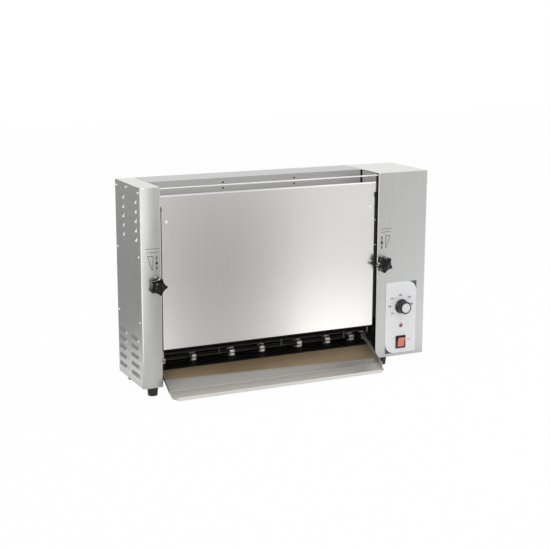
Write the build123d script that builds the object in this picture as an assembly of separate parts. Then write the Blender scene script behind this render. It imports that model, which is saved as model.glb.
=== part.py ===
from build123d import *
import os
from math import cos, degrees, pi, sin

# A vertical bun toaster for a counter: two sheet-steel columns with the toasting chamber
# between them, a heated platen at the front of the chamber and a moving wire belt behind it.
# Bun halves drop in at the top between the two and slide out over the tray at the bottom.
# Everything is in millimetres. While modelling, x is 0 midway between the outer sides,
# y is 0 at the front faces of the columns and runs backwards, z is 0 at the body's lower edge.

# Overall body
WIDTH = 710.0
DEPTH = 164.0
HEIGHT = 440.0
COLUMN_WIDTH = 47.0
BOX_WIDTH = 131.6
SHEET = 1.2
BEND = 3.0
RETURN_DEPTH = 10.0
WALL = 2.0
PAN = 1.5

# Clearances
FIT = 0.05
GAP = 0.3
CUT = 5.0

# Sides of the body
LEFT = -1
RIGHT = 1

# Pressed louvres
LOUVRE_LENGTH = 51.0
LOUVRE_HEIGHT = 9.5
LOUVRE_PROUD = 3.2
LOUVRE_SHEET = 0.9
LOUVRE_RUN_IN = 4.0
LOUVRE_LIP = 2.5
LOUVRE_PITCH = 20.4
LOUVRES_PER_GROUP = 5
LOUVRE_TOP_DOWN = 31.0
LOUVRE_LOW_UP = 104.0
LOUVRE_FRONT_BACK = 20.0
LOUVRE_REAR_INSET = 12.0
REAR_LOUVRES = 6
REAR_LOUVRE_LOW_UP = 60.0
REAR_LOUVRE_HIGH_DOWN = 79.6

# Small screws
SCREW_R = 3.0
SCREW_PROUD = 1.8
SCREW_INSET = 11.5
SCREW_ROWS_UP = (147.0, 291.0, 429.0)
TOP_SCREW_BACK = 88.0
TOP_SCREW_UP = 432.0
REAR_SCREW_ROWS_UP = (12.0, 212.0, 408.0)
DIVIDER_SCREW_R = 2.0
DIVIDER_SCREW_PROUD = 1.0
DIVIDER_ROWS_UP = (417.0, 430.0)
LANES = 3
WALL_SCREW_R = 1.6
WALL_SCREW_PROUD = 0.8
WALL_SCREW_BACK = 12.0
WALL_SCREW_ROWS_UP = (272.0, 330.0)

# Rubber feet
FOOT_R = 12.5
FOOT_TIP_R = 10.5
FOOT_HEIGHT = 20.0
FOOT_SIDE_INSET = 27.0
FOOT_FRONT_BACK = 16.0
FOOT_REAR_BACK = 148.0
RIGHT_FOOT_INSET = 106.0

# Top cover with the drop wall behind the feed slot
SLOT_REAR_BACK = 80.0
DROP_WALL_HEIGHT = 48.0
DROP_WALL_GAP = 3.5
CHEEK_SHEET = 0.8
CHEEK_LOW_UP = 400.0
CHEEK_FRONT_BACK = 11.0
CHEEK_REAR_BACK = 77.0
COVER_LAP = 15.0
GUIDE_ROD_R = 1.5
GUIDE_ROD_BACK = 3.5
GUIDE_ROD_UP = 435.6

# Lift-off front panel
PANEL_BACK = 8.0
PANEL_LEFT_GAP = 4.0
PANEL_RIGHT_GAP = 6.0
PANEL_LOW_UP = 81.0
PANEL_TOP_UP = 420.0
PANEL_RETURN = 4.0
EAR_UP = 389.0
LEFT_EAR_GAP = 0.4
RIGHT_EAR_GAP = 3.2
LEFT_LEDGE_REACH = 3.6
RIGHT_LEDGE_REACH = 5.6
LEDGE_THICK = 4.0
LEDGE_FRONT_BACK = 5.0
LEDGE_REAR_BACK = 13.0
LEDGE_LIP = 1.5
LEDGE_LIP_HEIGHT = 7.0
RIVET_R = 3.0
RIVET_PROUD = 1.2
RIVET_INSET = 11.0
RIVET_UP = 362.7

# Heat shield and cross rail behind the panel
SHIELD_BACK = 14.0
SHIELD_LOW_UP = 97.0
SHIELD_TOP_UP = 385.0
SHIELD_FLANGE = 10.0
RAIL_BACK = 13.0
RAIL_LOW_UP = 77.0
RAIL_TOP_UP = 96.0
RAIL_FLANGE = 8.0

# Wire belt and its two shafts
SHAFT_BACK = 92.0
DRIVE_UP = 33.0
IDLER_DOWN = 68.0
SHAFT_R = 6.0
BELT_WIRE = 2.0
BELT_STRAP = 1.2
SPROCKET_TIP_R = 12.0
SPROCKET_ROOT_R = 10.0
SPROCKET_TEETH = 8
SPROCKET_WIDTH = 11.0
TOOTH_SHARE = 0.45
SPROCKET_SHARES = (0.0546, 0.1946, 0.3745, 0.5184, 0.7008, 0.8430, 0.9654)
BELT_SIDE_GAP = 12.0
BELT_RUNGS = 42
BELT_STRAPS = 7
BACKING_GAP = 0.6
BACKING_LOW_UP = 54.0
BACKING_DOWN = 22.0
BACKING_FLANGE = 8.0
BEARING_R = 15.0
BEARING_LENGTH = 8.0
SHAFT_HOLE_R = 9.0
LEFT_SHAFT_END = 13.0
RIGHT_SHAFT_END = 17.0

# Motor and chain in the control box
MOTOR_UP = 125.0
CHAIN_OUT = 10.0
CHAIN_WIDTH = 5.0
CHAIN_THICK = 4.0
CHAIN_PULLEY_R = 18.0
CHAIN_TEETH = 14
CHAIN_TOOTH = 2.0
MOTOR_SHAFT_R = 4.0
MOTOR_SHAFT_BURY = 10.0
MOTOR_PLATE_OUT = 19.0
MOTOR_PLATE = 3.0
MOTOR_PLATE_HALF = 32.0
MOTOR_PLATE_RISE = 30.0
MOTOR_FOOT = 32.0
GEARBOX_HALF = 25.0
GEARBOX_LENGTH = 38.0
MOTOR_R = 27.0
MOTOR_LENGTH = 56.0
GEARBOX_EDGE = 2.0

# Heated platen and what rides with it
BUN_GAP = 23.0
RELEASE_SHEET = 0.8
PLATEN_THICK = 16.0
PLATEN_LOW_UP = 80.0
PLATEN_TOP_UP = 395.0
PLATEN_SIDE_GAP = 10.0
PLATEN_TRAVEL = 4.0
ELEMENT_R = 4.0
ELEMENT_ROWS_UP = (120.0, 215.0, 310.0)
ELEMENT_BEND_R = 20.0
ELEMENT_END_GAP = 16.0
CLAMP_WIDTH = 12.0
CLAMP_THICK = 3.0
CLAMPS = 4
CLAMP_OVERHANG = 14.0
END_PLATE = 3.0
LUG_LOW_UP = 58.0
LUG_FRONT_BACK = 26.0
LUG_REAR_BACK = 44.0
LUG_TOP_UP = 90.0
TAB_BACK = 46.0
TAB_HALF = 4.0
TAB_ROWS_UP = (104.0, 370.0)
SHEET_ROD_R = 1.0
SHEET_ROD_BACK = 30.0
SHEET_ROD_UP = 63.5
HOOK_SHARES = (0.270, 0.561, 0.868)
HOOK_WIDTH = 3.8
HOOK_SHEET = 1.5
HOOK_RISE = 4.0
HOOK_DROP = 13.5
HOOK_TOE = 3.0
SHEET_SIDE_GAP = 12.0
SHEET_SKIRT_UP = 70.0

# Thickness adjusters
KNOB_OUT = 13.0
KNOB_UP = 228.0
KNOB_R = 19.5
KNOB_LOBES = 5
KNOB_FLUTE_R = 19.0
KNOB_FLUTE_OUT = 33.0
KNOB_LOBE_ROUND = 1.6
LEFT_KNOB_PHASE = -4.0
RIGHT_KNOB_PHASE = -26.0
KNOB_HEAD = 13.0
KNOB_HUB = 7.2
KNOB_HUB_R = 8.0
KNOB_HUB_FOOT_R = 7.0
KNOB_EDGE = 1.2
SPINDLE_R = 5.0
SPINDLE_END_BACK = 66.0
BUSH_R = 6.5
BUSH_FLANGE_R = 9.0
BUSH_FLANGE = 2.0
BUSH_DEPTH = 4.0
BUSH_PLAY = 0.1
NUT_HALF = 9.0
NUT_DEPTH = 12.0
SUPPORT_BACK = 62.0
SUPPORT_THICK = 4.0
POINTER_ABOVE = 49.5
POINTER_SLOT_HALF = 14.5
POINTER_SLOT_WIDTH = 3.5
POINTER_PEG_WIDTH = 2.9
POINTER_PEG_HALF = 2.2
POINTER_PROUD = 1.2
POINTER_PLATE_WIDTH = 10.0
POINTER_PLATE_THICK = 2.4
POINTER_PLATE_HALF = 9.0
POINTER_OUT = 11.4
GUIDE_HALF = 27.5
GUIDE_WALL = 2.5
GUIDE_BACK = 2.0

# Control plate, dial, lamp and rocker switch, placed from the right outer side of the body
PLATE_INSET = 23.0
PLATE_WIDTH = 83.0
PLATE_LOW_UP = 7.0
PLATE_TOP_UP = 180.0
PLATE_THICK = 1.0
PLATE_CORNER = 2.0
DIAL_INSET = 63.0
DIAL_UP = 120.0
DIAL_R = 17.5
DIAL_TOP_R = 15.0
DIAL_SKIRT = 4.0
DIAL_HEIGHT = 20.0
DIAL_FLUTES = 18
DIAL_FLUTE_R = 1.3
DIAL_CAP_R = 11.0
DIAL_CAP = 1.0
DIAL_SHAFT_R = 3.0
DIAL_SHAFT_BURY = 10.0
REGULATOR_HALF = 20.0
REGULATOR_DEPTH = 28.0
REGULATOR_NECK_R = 5.0
REGULATOR_EDGE = 2.0
LAMP_INSET = 64.4
LAMP_UP = 74.2
LAMP_R = 4.7
LAMP_BEZEL_R = 6.5
LAMP_BEZEL = 1.5
LAMP_NECK_R = 3.8
LAMP_DEPTH = 16.0
LAMP_DOME = 1.6
ROCKER_INSET = 63.7
ROCKER_UP = 33.2
BEZEL_WIDTH = 27.2
BEZEL_HEIGHT = 31.0
BEZEL_PROUD = 2.0
SWITCH_WIDTH = 22.0
SWITCH_HEIGHT = 28.0
SWITCH_DEPTH = 24.0
SWITCH_WALL = 0.9
SWITCH_WELL = 8.0
ROCKER_TILT = 10.0
ROCKER_HALF = 12.0
ROCKER_SIDE_GAP = 0.4
ROCKER_FACE = 4.4
ROCKER_WAIST = 2.8
ROCKER_ROOT = 3.0
ROCKER_ROOT_SHARE = 0.75
ROCKER_PIN_R = 1.2
ROCKER_PIN_END = 0.2

# Outfeed tray and what holds it
TRAY_REACH = 55.0
TRAY_LIP_UP = -18.5
TRAY_HEM_R = 1.2
TRAY_HEM_HEIGHT = 7.2
TRAY_BEND_BACK = -24.0
TRAY_BEND_UP = -6.0
TRAY_REAR_BACK = 31.0
TRAY_REAR_UP = 26.5
TRAY_SIDE_GAP = 2.5
TRAY_CORNER_WIDTH = 12.5
TRAY_CORNER_DEPTH = 9.0
TRAY_SIDE_HEIGHT = 12.3
TRAY_SIDE_FRONT = -39.0
TRAY_ARM_BACK = 66.0
TRAY_ARM_UP = 44.0
TRAY_ARM_HEIGHT = 3.4
BRACKET_OUTLINE = ((14.0, 24.0), (23.0, 35.0), (70.0, 58.5), (72.0, 58.5), (72.0, 36.0),
                   (28.0, 8.0), (14.0, 8.0))
BRACKET_SHEET = 1.5
STUD_R = 2.5
STUD_BACK = 20.0
STUD_REACH = 11.0
HOLD_BACK = 63.5
HOLD_GAP = 1.2

# Chute under the belt
CHUTE_FRONT_BACK = 35.0
CHUTE_FRONT_UP = 26.6
CHUTE_CREST_BACK = 73.0
CHUTE_CREST_UP = 27.0
CHUTE_HEEL_BACK = 82.0
CHUTE_HEEL_UP = 10.0
CHUTE_FOOT = 14.0
PAN_FRONT_BACK = 50.0

# Wiring entry and terminal block
TERMINAL_OUT = 70.0
TERMINAL_LENGTH = 44.0
TERMINAL_DEPTH = 20.0
TERMINAL_HEIGHT = 18.0
TERMINAL_REAR_SPACE = 22.0
TERMINAL_WAYS = 4
INLET_OUT = 92.0
INLET_UP = 40.0
INLET_R = 11.0
INLET_BORE_R = 5.0
INLET_FLANGE_R = 15.0
INLET_FLANGE = 3.0
INLET_DEPTH = 12.0

# Places worked out from the driving sizes
left_side = -WIDTH / 2
right_side = WIDTH / 2
chamber_left = left_side + COLUMN_WIDTH
chamber_right = right_side - BOX_WIDTH
chamber_middle = (chamber_left + chamber_right) / 2
chamber_half = (chamber_right - chamber_left) / 2
back_inside = DEPTH - SHEET
roof_inside = HEIGHT - SHEET
IDLER_UP = HEIGHT - IDLER_DOWN
BACKING_TOP_UP = IDLER_UP - BACKING_DOWN
POINTER_UP = KNOB_UP + POINTER_ABOVE
belt_inner_r = SPROCKET_TIP_R + GAP
belt_outer_r = belt_inner_r + BELT_WIRE
belt_face_back = SHAFT_BACK - belt_outer_r
sheet_face_back = belt_face_back - BUN_GAP
platen_rear_back = sheet_face_back - RELEASE_SHEET
platen_front_back = platen_rear_back - PLATEN_THICK
element_back = platen_front_back - ELEMENT_R
clamp_back = platen_front_back - 2 * ELEMENT_R
tray_slope = (TRAY_REAR_UP - TRAY_BEND_UP) / (TRAY_REAR_BACK - TRAY_BEND_BACK)
lip_slope = (TRAY_BEND_UP - TRAY_LIP_UP) / (TRAY_BEND_BACK + TRAY_REACH)
tray_left = chamber_left + TRAY_SIDE_GAP
tray_right = chamber_right - TRAY_SIDE_GAP
front_shift = (TRAY_REACH - DEPTH - max(INLET_FLANGE, LOUVRE_PROUD)) / 2


# Helpers
def block(x0, x1, y0, y1, z0, z1):
    low = Vector(min(x0, x1), min(y0, y1), min(z0, z1))
    high = Vector(max(x0, x1), max(y0, y1), max(z0, z1))
    size = high - low
    return Pos(*low) * Box(size.X, size.Y, size.Z, align=(Align.MIN, Align.MIN, Align.MIN))


def rod_x(x0, x1, y, z, radius):
    stand = (Align.CENTER, Align.CENTER, Align.MIN)
    return Pos(min(x0, x1), y, z) * Rot(0, 90, 0) * Cylinder(radius, abs(x1 - x0), align=stand)


def rod_y(x, y0, y1, z, radius):
    stand = (Align.CENTER, Align.CENTER, Align.MIN)
    return Pos(x, min(y0, y1), z) * Rot(-90, 0, 0) * Cylinder(radius, abs(y1 - y0), align=stand)


def cone_y(x, y0, y1, z, radius0, radius1):
    stand = (Align.CENTER, Align.CENTER, Align.MIN)
    return Pos(x, y0, z) * Rot(-90, 0, 0) * Cone(radius0, radius1, y1 - y0, align=stand)


def group(pieces):
    return Compound([solid for piece in pieces for solid in piece.solids()])


def side_profile(points, x0, x1):
    outline = make_face(Polyline(*[(y, z) for y, z in points], close=True))
    return Pos(min(x0, x1), 0, 0) * extrude(Plane.YZ * outline, amount=abs(x1 - x0))


def folded(points, thickness, x0, x1):
    # A sheet bent along x. The points are its bends, and the metal lies to their left.
    line = [Vector(y, z) for y, z in points]
    normals = []
    for start, end in zip(line, line[1:]):
        along = (end - start).normalized()
        normals.append(Vector(-along.Y, along.X))
    inner = [line[0] + normals[0] * thickness]
    for corner, before, after in zip(line[1:-1], normals, normals[1:]):
        inner.append(corner + (before + after) * (thickness / (1 + before.dot(after))))
    inner.append(line[-1] + normals[-1] * thickness)
    outline = [(p.X, p.Y) for p in line + inner[::-1]]
    return side_profile(outline, x0, x1)


def wall_x(side, out):
    # x at a distance outwards from the chamber's left or right wall
    return chamber_middle + side * (chamber_half + out)


def louvre(plane):
    # The pressed hood and the slot under it, on a plane whose y points out of the sheet
    corner = (Align.MIN, Align.MIN, Align.MIN)
    hood = Wedge(LOUVRE_LENGTH, LOUVRE_PROUD, LOUVRE_HEIGHT,
                 LOUVRE_RUN_IN, 0, LOUVRE_LENGTH - LOUVRE_RUN_IN, LOUVRE_LIP, align=corner)
    hollow_length = LOUVRE_LENGTH - 2 * LOUVRE_SHEET
    hollow = Wedge(hollow_length, LOUVRE_PROUD - LOUVRE_SHEET, LOUVRE_HEIGHT - LOUVRE_SHEET,
                   LOUVRE_RUN_IN, 0, hollow_length - LOUVRE_RUN_IN, LOUVRE_LIP, align=corner)
    mouth = Pos(LOUVRE_SHEET, 0, 0) * hollow
    slot = Pos(LOUVRE_SHEET, -SHEET - CUT, 0) * Box(
        hollow_length, SHEET + CUT, LOUVRE_LIP, align=corner)
    return plane.location * (hood - mouth), plane.location * slot


def side_louvres(side):
    hoods = []
    slots = []
    x = left_side if side < 0 else right_side
    for top_up in (HEIGHT - LOUVRE_TOP_DOWN, LOUVRE_LOW_UP):
        for row in range(LOUVRES_PER_GROUP):
            for back in (LOUVRE_FRONT_BACK, DEPTH - LOUVRE_REAR_INSET - LOUVRE_LENGTH):
                low = top_up - row * LOUVRE_PITCH - LOUVRE_HEIGHT / 2
                start = back if side < 0 else back + LOUVRE_LENGTH
                plane = Plane(origin=(x, start, low), x_dir=(0, -side, 0), z_dir=(0, 0, 1))
                hood, slot = louvre(plane)
                hoods.append(hood)
                slots.append(slot)
    return hoods, slots


# Column casings: one bent sheet each, open below and towards the chamber
def casing(side):
    outer = left_side if side < 0 else right_side
    inner = wall_x(side, 0)
    shell = block(outer, inner, 0, DEPTH, 0, HEIGHT)
    shell = fillet(shell.edges().filter_by(Axis.Z), BEND)
    shell = fillet(shell.faces().sort_by(Axis.Z)[-1].outer_wire().edges(), SHEET)
    core = block(outer - side * SHEET, inner + side * SHEET, SHEET, back_inside, -CUT, roof_inside)
    core = fillet(core.edges().filter_by(Axis.Z), BEND - SHEET)
    shell -= core
    shell -= block(inner - side * CUT, inner + side * (SHEET + CUT), RETURN_DEPTH,
                   DEPTH - RETURN_DEPTH, -CUT, roof_inside)
    shell -= block(inner - side * CUT, inner + side * BEND, SHEET, back_inside, -CUT, PAN)
    hoods, slots = side_louvres(side)
    return shell - slots + hoods


def spindle_hole(side):
    return rod_y(wall_x(side, KNOB_OUT), -CUT, CUT, KNOB_UP, BUSH_R + BUSH_PLAY)


def pointer_slot(side):
    x = wall_x(side, POINTER_OUT)
    return block(x - POINTER_SLOT_WIDTH / 2, x + POINTER_SLOT_WIDTH / 2, -CUT, CUT,
                 POINTER_UP - POINTER_SLOT_HALF, POINTER_UP + POINTER_SLOT_HALF)


left_casing = casing(LEFT) - spindle_hole(LEFT) - pointer_slot(LEFT)

dial_x = right_side - DIAL_INSET
lamp_x = right_side - LAMP_INSET
rocker_x = right_side - ROCKER_INSET
regulator_hole = rod_y(dial_x, -CUT, CUT, DIAL_UP, REGULATOR_NECK_R + GAP)
lamp_hole = rod_y(lamp_x, -CUT, CUT, LAMP_UP, LAMP_NECK_R + GAP)
rocker_hole = block(rocker_x - SWITCH_WIDTH / 2 - GAP, rocker_x + SWITCH_WIDTH / 2 + GAP, -CUT, CUT,
                    ROCKER_UP - SWITCH_HEIGHT / 2 - GAP, ROCKER_UP + SWITCH_HEIGHT / 2 + GAP)
inlet_x = wall_x(RIGHT, INLET_OUT)
inlet_hole = rod_y(inlet_x, back_inside - CUT, DEPTH + CUT, INLET_UP, INLET_R + GAP)
right_casing = casing(RIGHT) - spindle_hole(RIGHT) - pointer_slot(RIGHT)
right_casing -= [regulator_hole, lamp_hole, rocker_hole, inlet_hole]


# Inner walls of the chamber, with the slots that the platen's tabs run in
def inner_wall(side):
    near = wall_x(side, 0)
    far = wall_x(side, WALL)
    plate = block(near, far, RETURN_DEPTH, DEPTH - RETURN_DEPTH, PAN, roof_inside)
    cuts = []
    reach = TAB_HALF + PLATEN_TRAVEL + GAP
    for up in TAB_ROWS_UP:
        cuts.append(block(near - side * CUT, far + side * CUT, TAB_BACK - reach, TAB_BACK + reach,
                          up - TAB_HALF - GAP, up + TAB_HALF + GAP))
    nut_reach = NUT_DEPTH / 2 + PLATEN_TRAVEL + GAP
    cuts.append(block(near - side * CUT, far + side * CUT, TAB_BACK - nut_reach,
                      TAB_BACK + nut_reach, KNOB_UP - NUT_HALF - GAP, KNOB_UP + NUT_HALF + GAP))
    for up in (DRIVE_UP, IDLER_UP):
        cuts.append(rod_x(near - side * CUT, far + side * CUT, SHAFT_BACK, up, SHAFT_HOLE_R))
    return plate - cuts


left_inner_wall = inner_wall(LEFT)
right_inner_wall = inner_wall(RIGHT)

# Base pan: one flat plate under everything, notched where the tray comes out
base_pan = block(left_side + SHEET, right_side - SHEET, SHEET, back_inside, 0, PAN)
base_pan = fillet(base_pan.edges().filter_by(Axis.Z), BEND - SHEET)
base_pan -= block(chamber_left, chamber_right, -CUT, PAN_FRONT_BACK, -CUT, PAN + CUT)

# Rear cover: a tray-shaped sheet screwed to the inner walls, with pressed louvres
rear_top = HEIGHT - COVER_LAP - GAP
rear_cover = block(chamber_left, chamber_right, back_inside, DEPTH, 0, rear_top)
for side in (LEFT, RIGHT):
    rear_cover += block(wall_x(side, 0), wall_x(side, -SHEET), DEPTH - RETURN_DEPTH - SHEET,
                        back_inside, PAN, rear_top)
rear_pitch = (chamber_right - chamber_left) / REAR_LOUVRES
rear_hoods = []
rear_slots = []
rear_high_up = HEIGHT - REAR_LOUVRE_HIGH_DOWN
rear_rows = (REAR_LOUVRE_LOW_UP, REAR_LOUVRE_LOW_UP + LOUVRE_PITCH,
             rear_high_up - LOUVRE_PITCH, rear_high_up)
for up in rear_rows:
    for number in range(REAR_LOUVRES):
        middle = chamber_left + rear_pitch * (number + 1 / 2)
        plane = Plane(origin=(middle - LOUVRE_LENGTH / 2, DEPTH, up - LOUVRE_HEIGHT / 2),
                      x_dir=(1, 0, 0), z_dir=(0, 0, 1))
        rear_hood, rear_slot = louvre(plane)
        rear_hoods.append(rear_hood)
        rear_slots.append(rear_slot)
rear_cover = rear_cover - rear_slots + rear_hoods

# Top cover: rear lap, flat top and the bright drop wall behind the feed slot
top_cover = folded([(DEPTH, HEIGHT - COVER_LAP), (DEPTH, HEIGHT), (SLOT_REAR_BACK, HEIGHT)], SHEET,
                   chamber_left, chamber_right)
top_cover += block(wall_x(LEFT, -DROP_WALL_GAP), wall_x(RIGHT, -DROP_WALL_GAP), SLOT_REAR_BACK,
                   SLOT_REAR_BACK + SHEET, HEIGHT - DROP_WALL_HEIGHT, HEIGHT)

guide_rod = rod_x(chamber_left, chamber_right, GUIDE_ROD_BACK, GUIDE_ROD_UP, GUIDE_ROD_R)

# Bright cheeks that line the chamber walls at the two ends of the feed slot
slot_cheeks = []
for side in (LEFT, RIGHT):
    slot_cheeks.append(block(wall_x(side, 0), wall_x(side, -CHEEK_SHEET), CHEEK_FRONT_BACK, CHEEK_REAR_BACK,
                             CHEEK_LOW_UP, roof_inside))


# Screws, rivets and feet
def dome_screw(plane, radius, proud):
    head = Cylinder(radius, proud, align=(Align.CENTER, Align.CENTER, Align.MIN))
    head = chamfer(head.edges().sort_by(Axis.Z)[-1], proud / 2)
    return plane.location * head


casing_screws = []
for side, x in ((LEFT, left_side), (RIGHT, right_side)):
    for up in SCREW_ROWS_UP:
        for back in (SCREW_INSET, DEPTH - SCREW_INSET):
            casing_screws.append(dome_screw(Plane(origin=(x, back, up), z_dir=(side, 0, 0)),
                                            SCREW_R, SCREW_PROUD))
    casing_screws.append(dome_screw(Plane(origin=(x, TOP_SCREW_BACK, TOP_SCREW_UP),
                                          z_dir=(side, 0, 0)), SCREW_R, SCREW_PROUD))

cover_screws = []
for up in REAR_SCREW_ROWS_UP:
    for side in (LEFT, RIGHT):
        cover_screws.append(dome_screw(Plane(origin=(wall_x(side, -SCREW_INSET), DEPTH, up),
                                             z_dir=(0, 1, 0)), SCREW_R, SCREW_PROUD))

lane_width = 2 * chamber_half / LANES
lane_screws = []
for lane in range(1, LANES):
    for up in DIVIDER_ROWS_UP:
        place = Plane(origin=(chamber_left + lane * lane_width, SLOT_REAR_BACK, up), z_dir=(0, -1, 0))
        lane_screws.append(dome_screw(place, DIVIDER_SCREW_R, DIVIDER_SCREW_PROUD))

wall_screws = []
for side in (LEFT, RIGHT):
    for up in WALL_SCREW_ROWS_UP:
        place = Plane(origin=(wall_x(side, 0), WALL_SCREW_BACK, up), z_dir=(-side, 0, 0))
        wall_screws.append(dome_screw(place, WALL_SCREW_R, WALL_SCREW_PROUD))

foot_places = []
for back in (FOOT_FRONT_BACK, FOOT_REAR_BACK):
    foot_places.append((left_side + FOOT_SIDE_INSET, back))
    foot_places.append((right_side - RIGHT_FOOT_INSET, back))
rubber_feet = []
for x, back in foot_places:
    foot = Pos(x, back, -FOOT_HEIGHT) * Cone(FOOT_TIP_R, FOOT_R, FOOT_HEIGHT,
                                             align=(Align.CENTER, Align.CENTER, Align.MIN))
    rubber_feet.append(foot)

# Front panel: brushed cover with ears that hang on two ledges
ear_left = chamber_left + LEFT_EAR_GAP
ear_right = chamber_right - RIGHT_EAR_GAP
panel_left = chamber_left + PANEL_LEFT_GAP
panel_right = chamber_right - PANEL_RIGHT_GAP
front_panel = folded([(PANEL_BACK + PANEL_RETURN, PANEL_TOP_UP), (PANEL_BACK, PANEL_TOP_UP),
                      (PANEL_BACK, PANEL_LOW_UP), (PANEL_BACK + PANEL_RETURN, PANEL_LOW_UP)],
                     SHEET, panel_left, panel_right)
front_panel += block(ear_left, panel_left, PANEL_BACK, PANEL_BACK + SHEET, EAR_UP, PANEL_TOP_UP)
front_panel += block(panel_right, ear_right, PANEL_BACK, PANEL_BACK + SHEET, EAR_UP, PANEL_TOP_UP)
panel_rivets = []
for x in (panel_left + RIVET_INSET, panel_right - RIVET_INSET):
    panel_rivets.append(dome_screw(Plane(origin=(x, PANEL_BACK, RIVET_UP), z_dir=(0, -1, 0)),
                                   RIVET_R, RIVET_PROUD))

panel_ledges = []
for side, reach in ((LEFT, LEFT_LEDGE_REACH), (RIGHT, RIGHT_LEDGE_REACH)):
    ledge = block(wall_x(side, 0), wall_x(side, -reach), LEDGE_FRONT_BACK, LEDGE_REAR_BACK,
                  EAR_UP - GAP - LEDGE_THICK, EAR_UP - GAP)
    ledge += block(wall_x(side, 0), wall_x(side, -reach), LEDGE_FRONT_BACK,
                   LEDGE_FRONT_BACK + LEDGE_LIP, EAR_UP - GAP, EAR_UP - GAP + LEDGE_LIP_HEIGHT)
    panel_ledges.append(ledge)

# Heat shield and the cross rail below it
heat_shield = block(chamber_left, chamber_right, SHIELD_BACK, SHIELD_BACK + SHEET,
                    SHIELD_LOW_UP, SHIELD_TOP_UP)
for side in (LEFT, RIGHT):
    heat_shield += block(wall_x(side, 0), wall_x(side, -SHEET), SHIELD_BACK,
                         SHIELD_BACK + SHIELD_FLANGE, SHIELD_LOW_UP, SHIELD_TOP_UP)
cross_rail = folded([(RAIL_BACK + RAIL_FLANGE, RAIL_LOW_UP), (RAIL_BACK, RAIL_LOW_UP),
                     (RAIL_BACK, RAIL_TOP_UP)][::-1], SHEET, chamber_left, chamber_right)


# Toothed wheels
def toothed_wheel(tip_r, root_r, teeth, width):
    points = []
    pitch = 2 * pi / teeth
    for tooth in range(teeth):
        middle = tooth * pitch
        for radius, offset in ((root_r, -1 / 2), (root_r, -TOOTH_SHARE), (tip_r, -TOOTH_SHARE / 2),
                               (tip_r, TOOTH_SHARE / 2), (root_r, TOOTH_SHARE)):
            angle = middle + offset * pitch
            points.append((radius * cos(angle), radius * sin(angle)))
    wheel = extrude(make_face(Polyline(*points, close=True)), amount=width / 2, both=True)
    return Rot(0, 90, 0) * wheel


belt_sprocket = toothed_wheel(SPROCKET_TIP_R, SPROCKET_ROOT_R, SPROCKET_TEETH, SPROCKET_WIDTH)
chain_wheel = toothed_wheel(CHAIN_PULLEY_R, CHAIN_PULLEY_R - CHAIN_TOOTH, CHAIN_TEETH, CHAIN_WIDTH)
shaft_bore = rod_x(-BEARING_LENGTH, BEARING_LENGTH, 0, 0, SHAFT_R)
sprocket_blank = belt_sprocket - shaft_bore
sprocket_xs = [chamber_left + share * 2 * chamber_half for share in SPROCKET_SHARES]
drive_sprockets = [Pos(x, SHAFT_BACK, DRIVE_UP) * sprocket_blank for x in sprocket_xs]
idler_sprockets = [Pos(x, SHAFT_BACK, IDLER_UP) * sprocket_blank for x in sprocket_xs]
chain_x = chamber_right + CHAIN_OUT + CHAIN_WIDTH / 2
left_shaft_end = wall_x(LEFT, LEFT_SHAFT_END)
drive_shaft = rod_x(left_shaft_end, wall_x(RIGHT, RIGHT_SHAFT_END), SHAFT_BACK, DRIVE_UP, SHAFT_R)
idler_shaft = rod_x(left_shaft_end, wall_x(RIGHT, LEFT_SHAFT_END), SHAFT_BACK, IDLER_UP, SHAFT_R)
driven_sprocket = Pos(chain_x, SHAFT_BACK, DRIVE_UP) * (chain_wheel - shaft_bore)

shaft_bearings = []
for side in (LEFT, RIGHT):
    for up in (DRIVE_UP, IDLER_UP):
        ring = rod_x(wall_x(side, WALL), wall_x(side, WALL + BEARING_LENGTH - WALL), SHAFT_BACK,
                     up, BEARING_R)
        ring -= rod_x(wall_x(side, -CUT), wall_x(side, BEARING_LENGTH + CUT), SHAFT_BACK, up,
                      SHAFT_R + FIT)
        shaft_bearings.append(ring)


# Wire belt: square rungs joined by thin straps, one closed loop round both shafts
def loop_band(inner_r, outer_r, x0, x1, low_up, high_up):
    middle = Pos(SHAFT_BACK, (low_up + high_up) / 2)
    pills = [SlotCenterToCenter(high_up - low_up, 2 * radius, rotation=90) for radius in (outer_r, inner_r)]
    band = Plane.YZ * (middle * (pills[0] - pills[1]))
    return Pos(x0, 0, 0) * extrude(band, amount=x1 - x0)


belt_left = chamber_left + BELT_SIDE_GAP
belt_right = chamber_right - BELT_SIDE_GAP
belt_mid_r = (belt_inner_r + belt_outer_r) / 2
belt_straight = IDLER_UP - DRIVE_UP
belt_length = 2 * belt_straight + 2 * pi * belt_mid_r


def belt_place(distance):
    # Centre and tilt of a rung at a distance along the loop, from the foot of the front run
    turn = pi * belt_mid_r
    if distance < belt_straight:
        return SHAFT_BACK - belt_mid_r, DRIVE_UP + distance, 0.0
    if distance < belt_straight + turn:
        angle = (distance - belt_straight) / belt_mid_r
        return SHAFT_BACK - belt_mid_r * cos(angle), IDLER_UP + belt_mid_r * sin(angle), angle
    if distance < 2 * belt_straight + turn:
        return SHAFT_BACK + belt_mid_r, IDLER_UP - (distance - belt_straight - turn), 0.0
    angle = (distance - 2 * belt_straight - turn) / belt_mid_r
    return SHAFT_BACK + belt_mid_r * cos(angle), DRIVE_UP - belt_mid_r * sin(angle), angle


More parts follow.
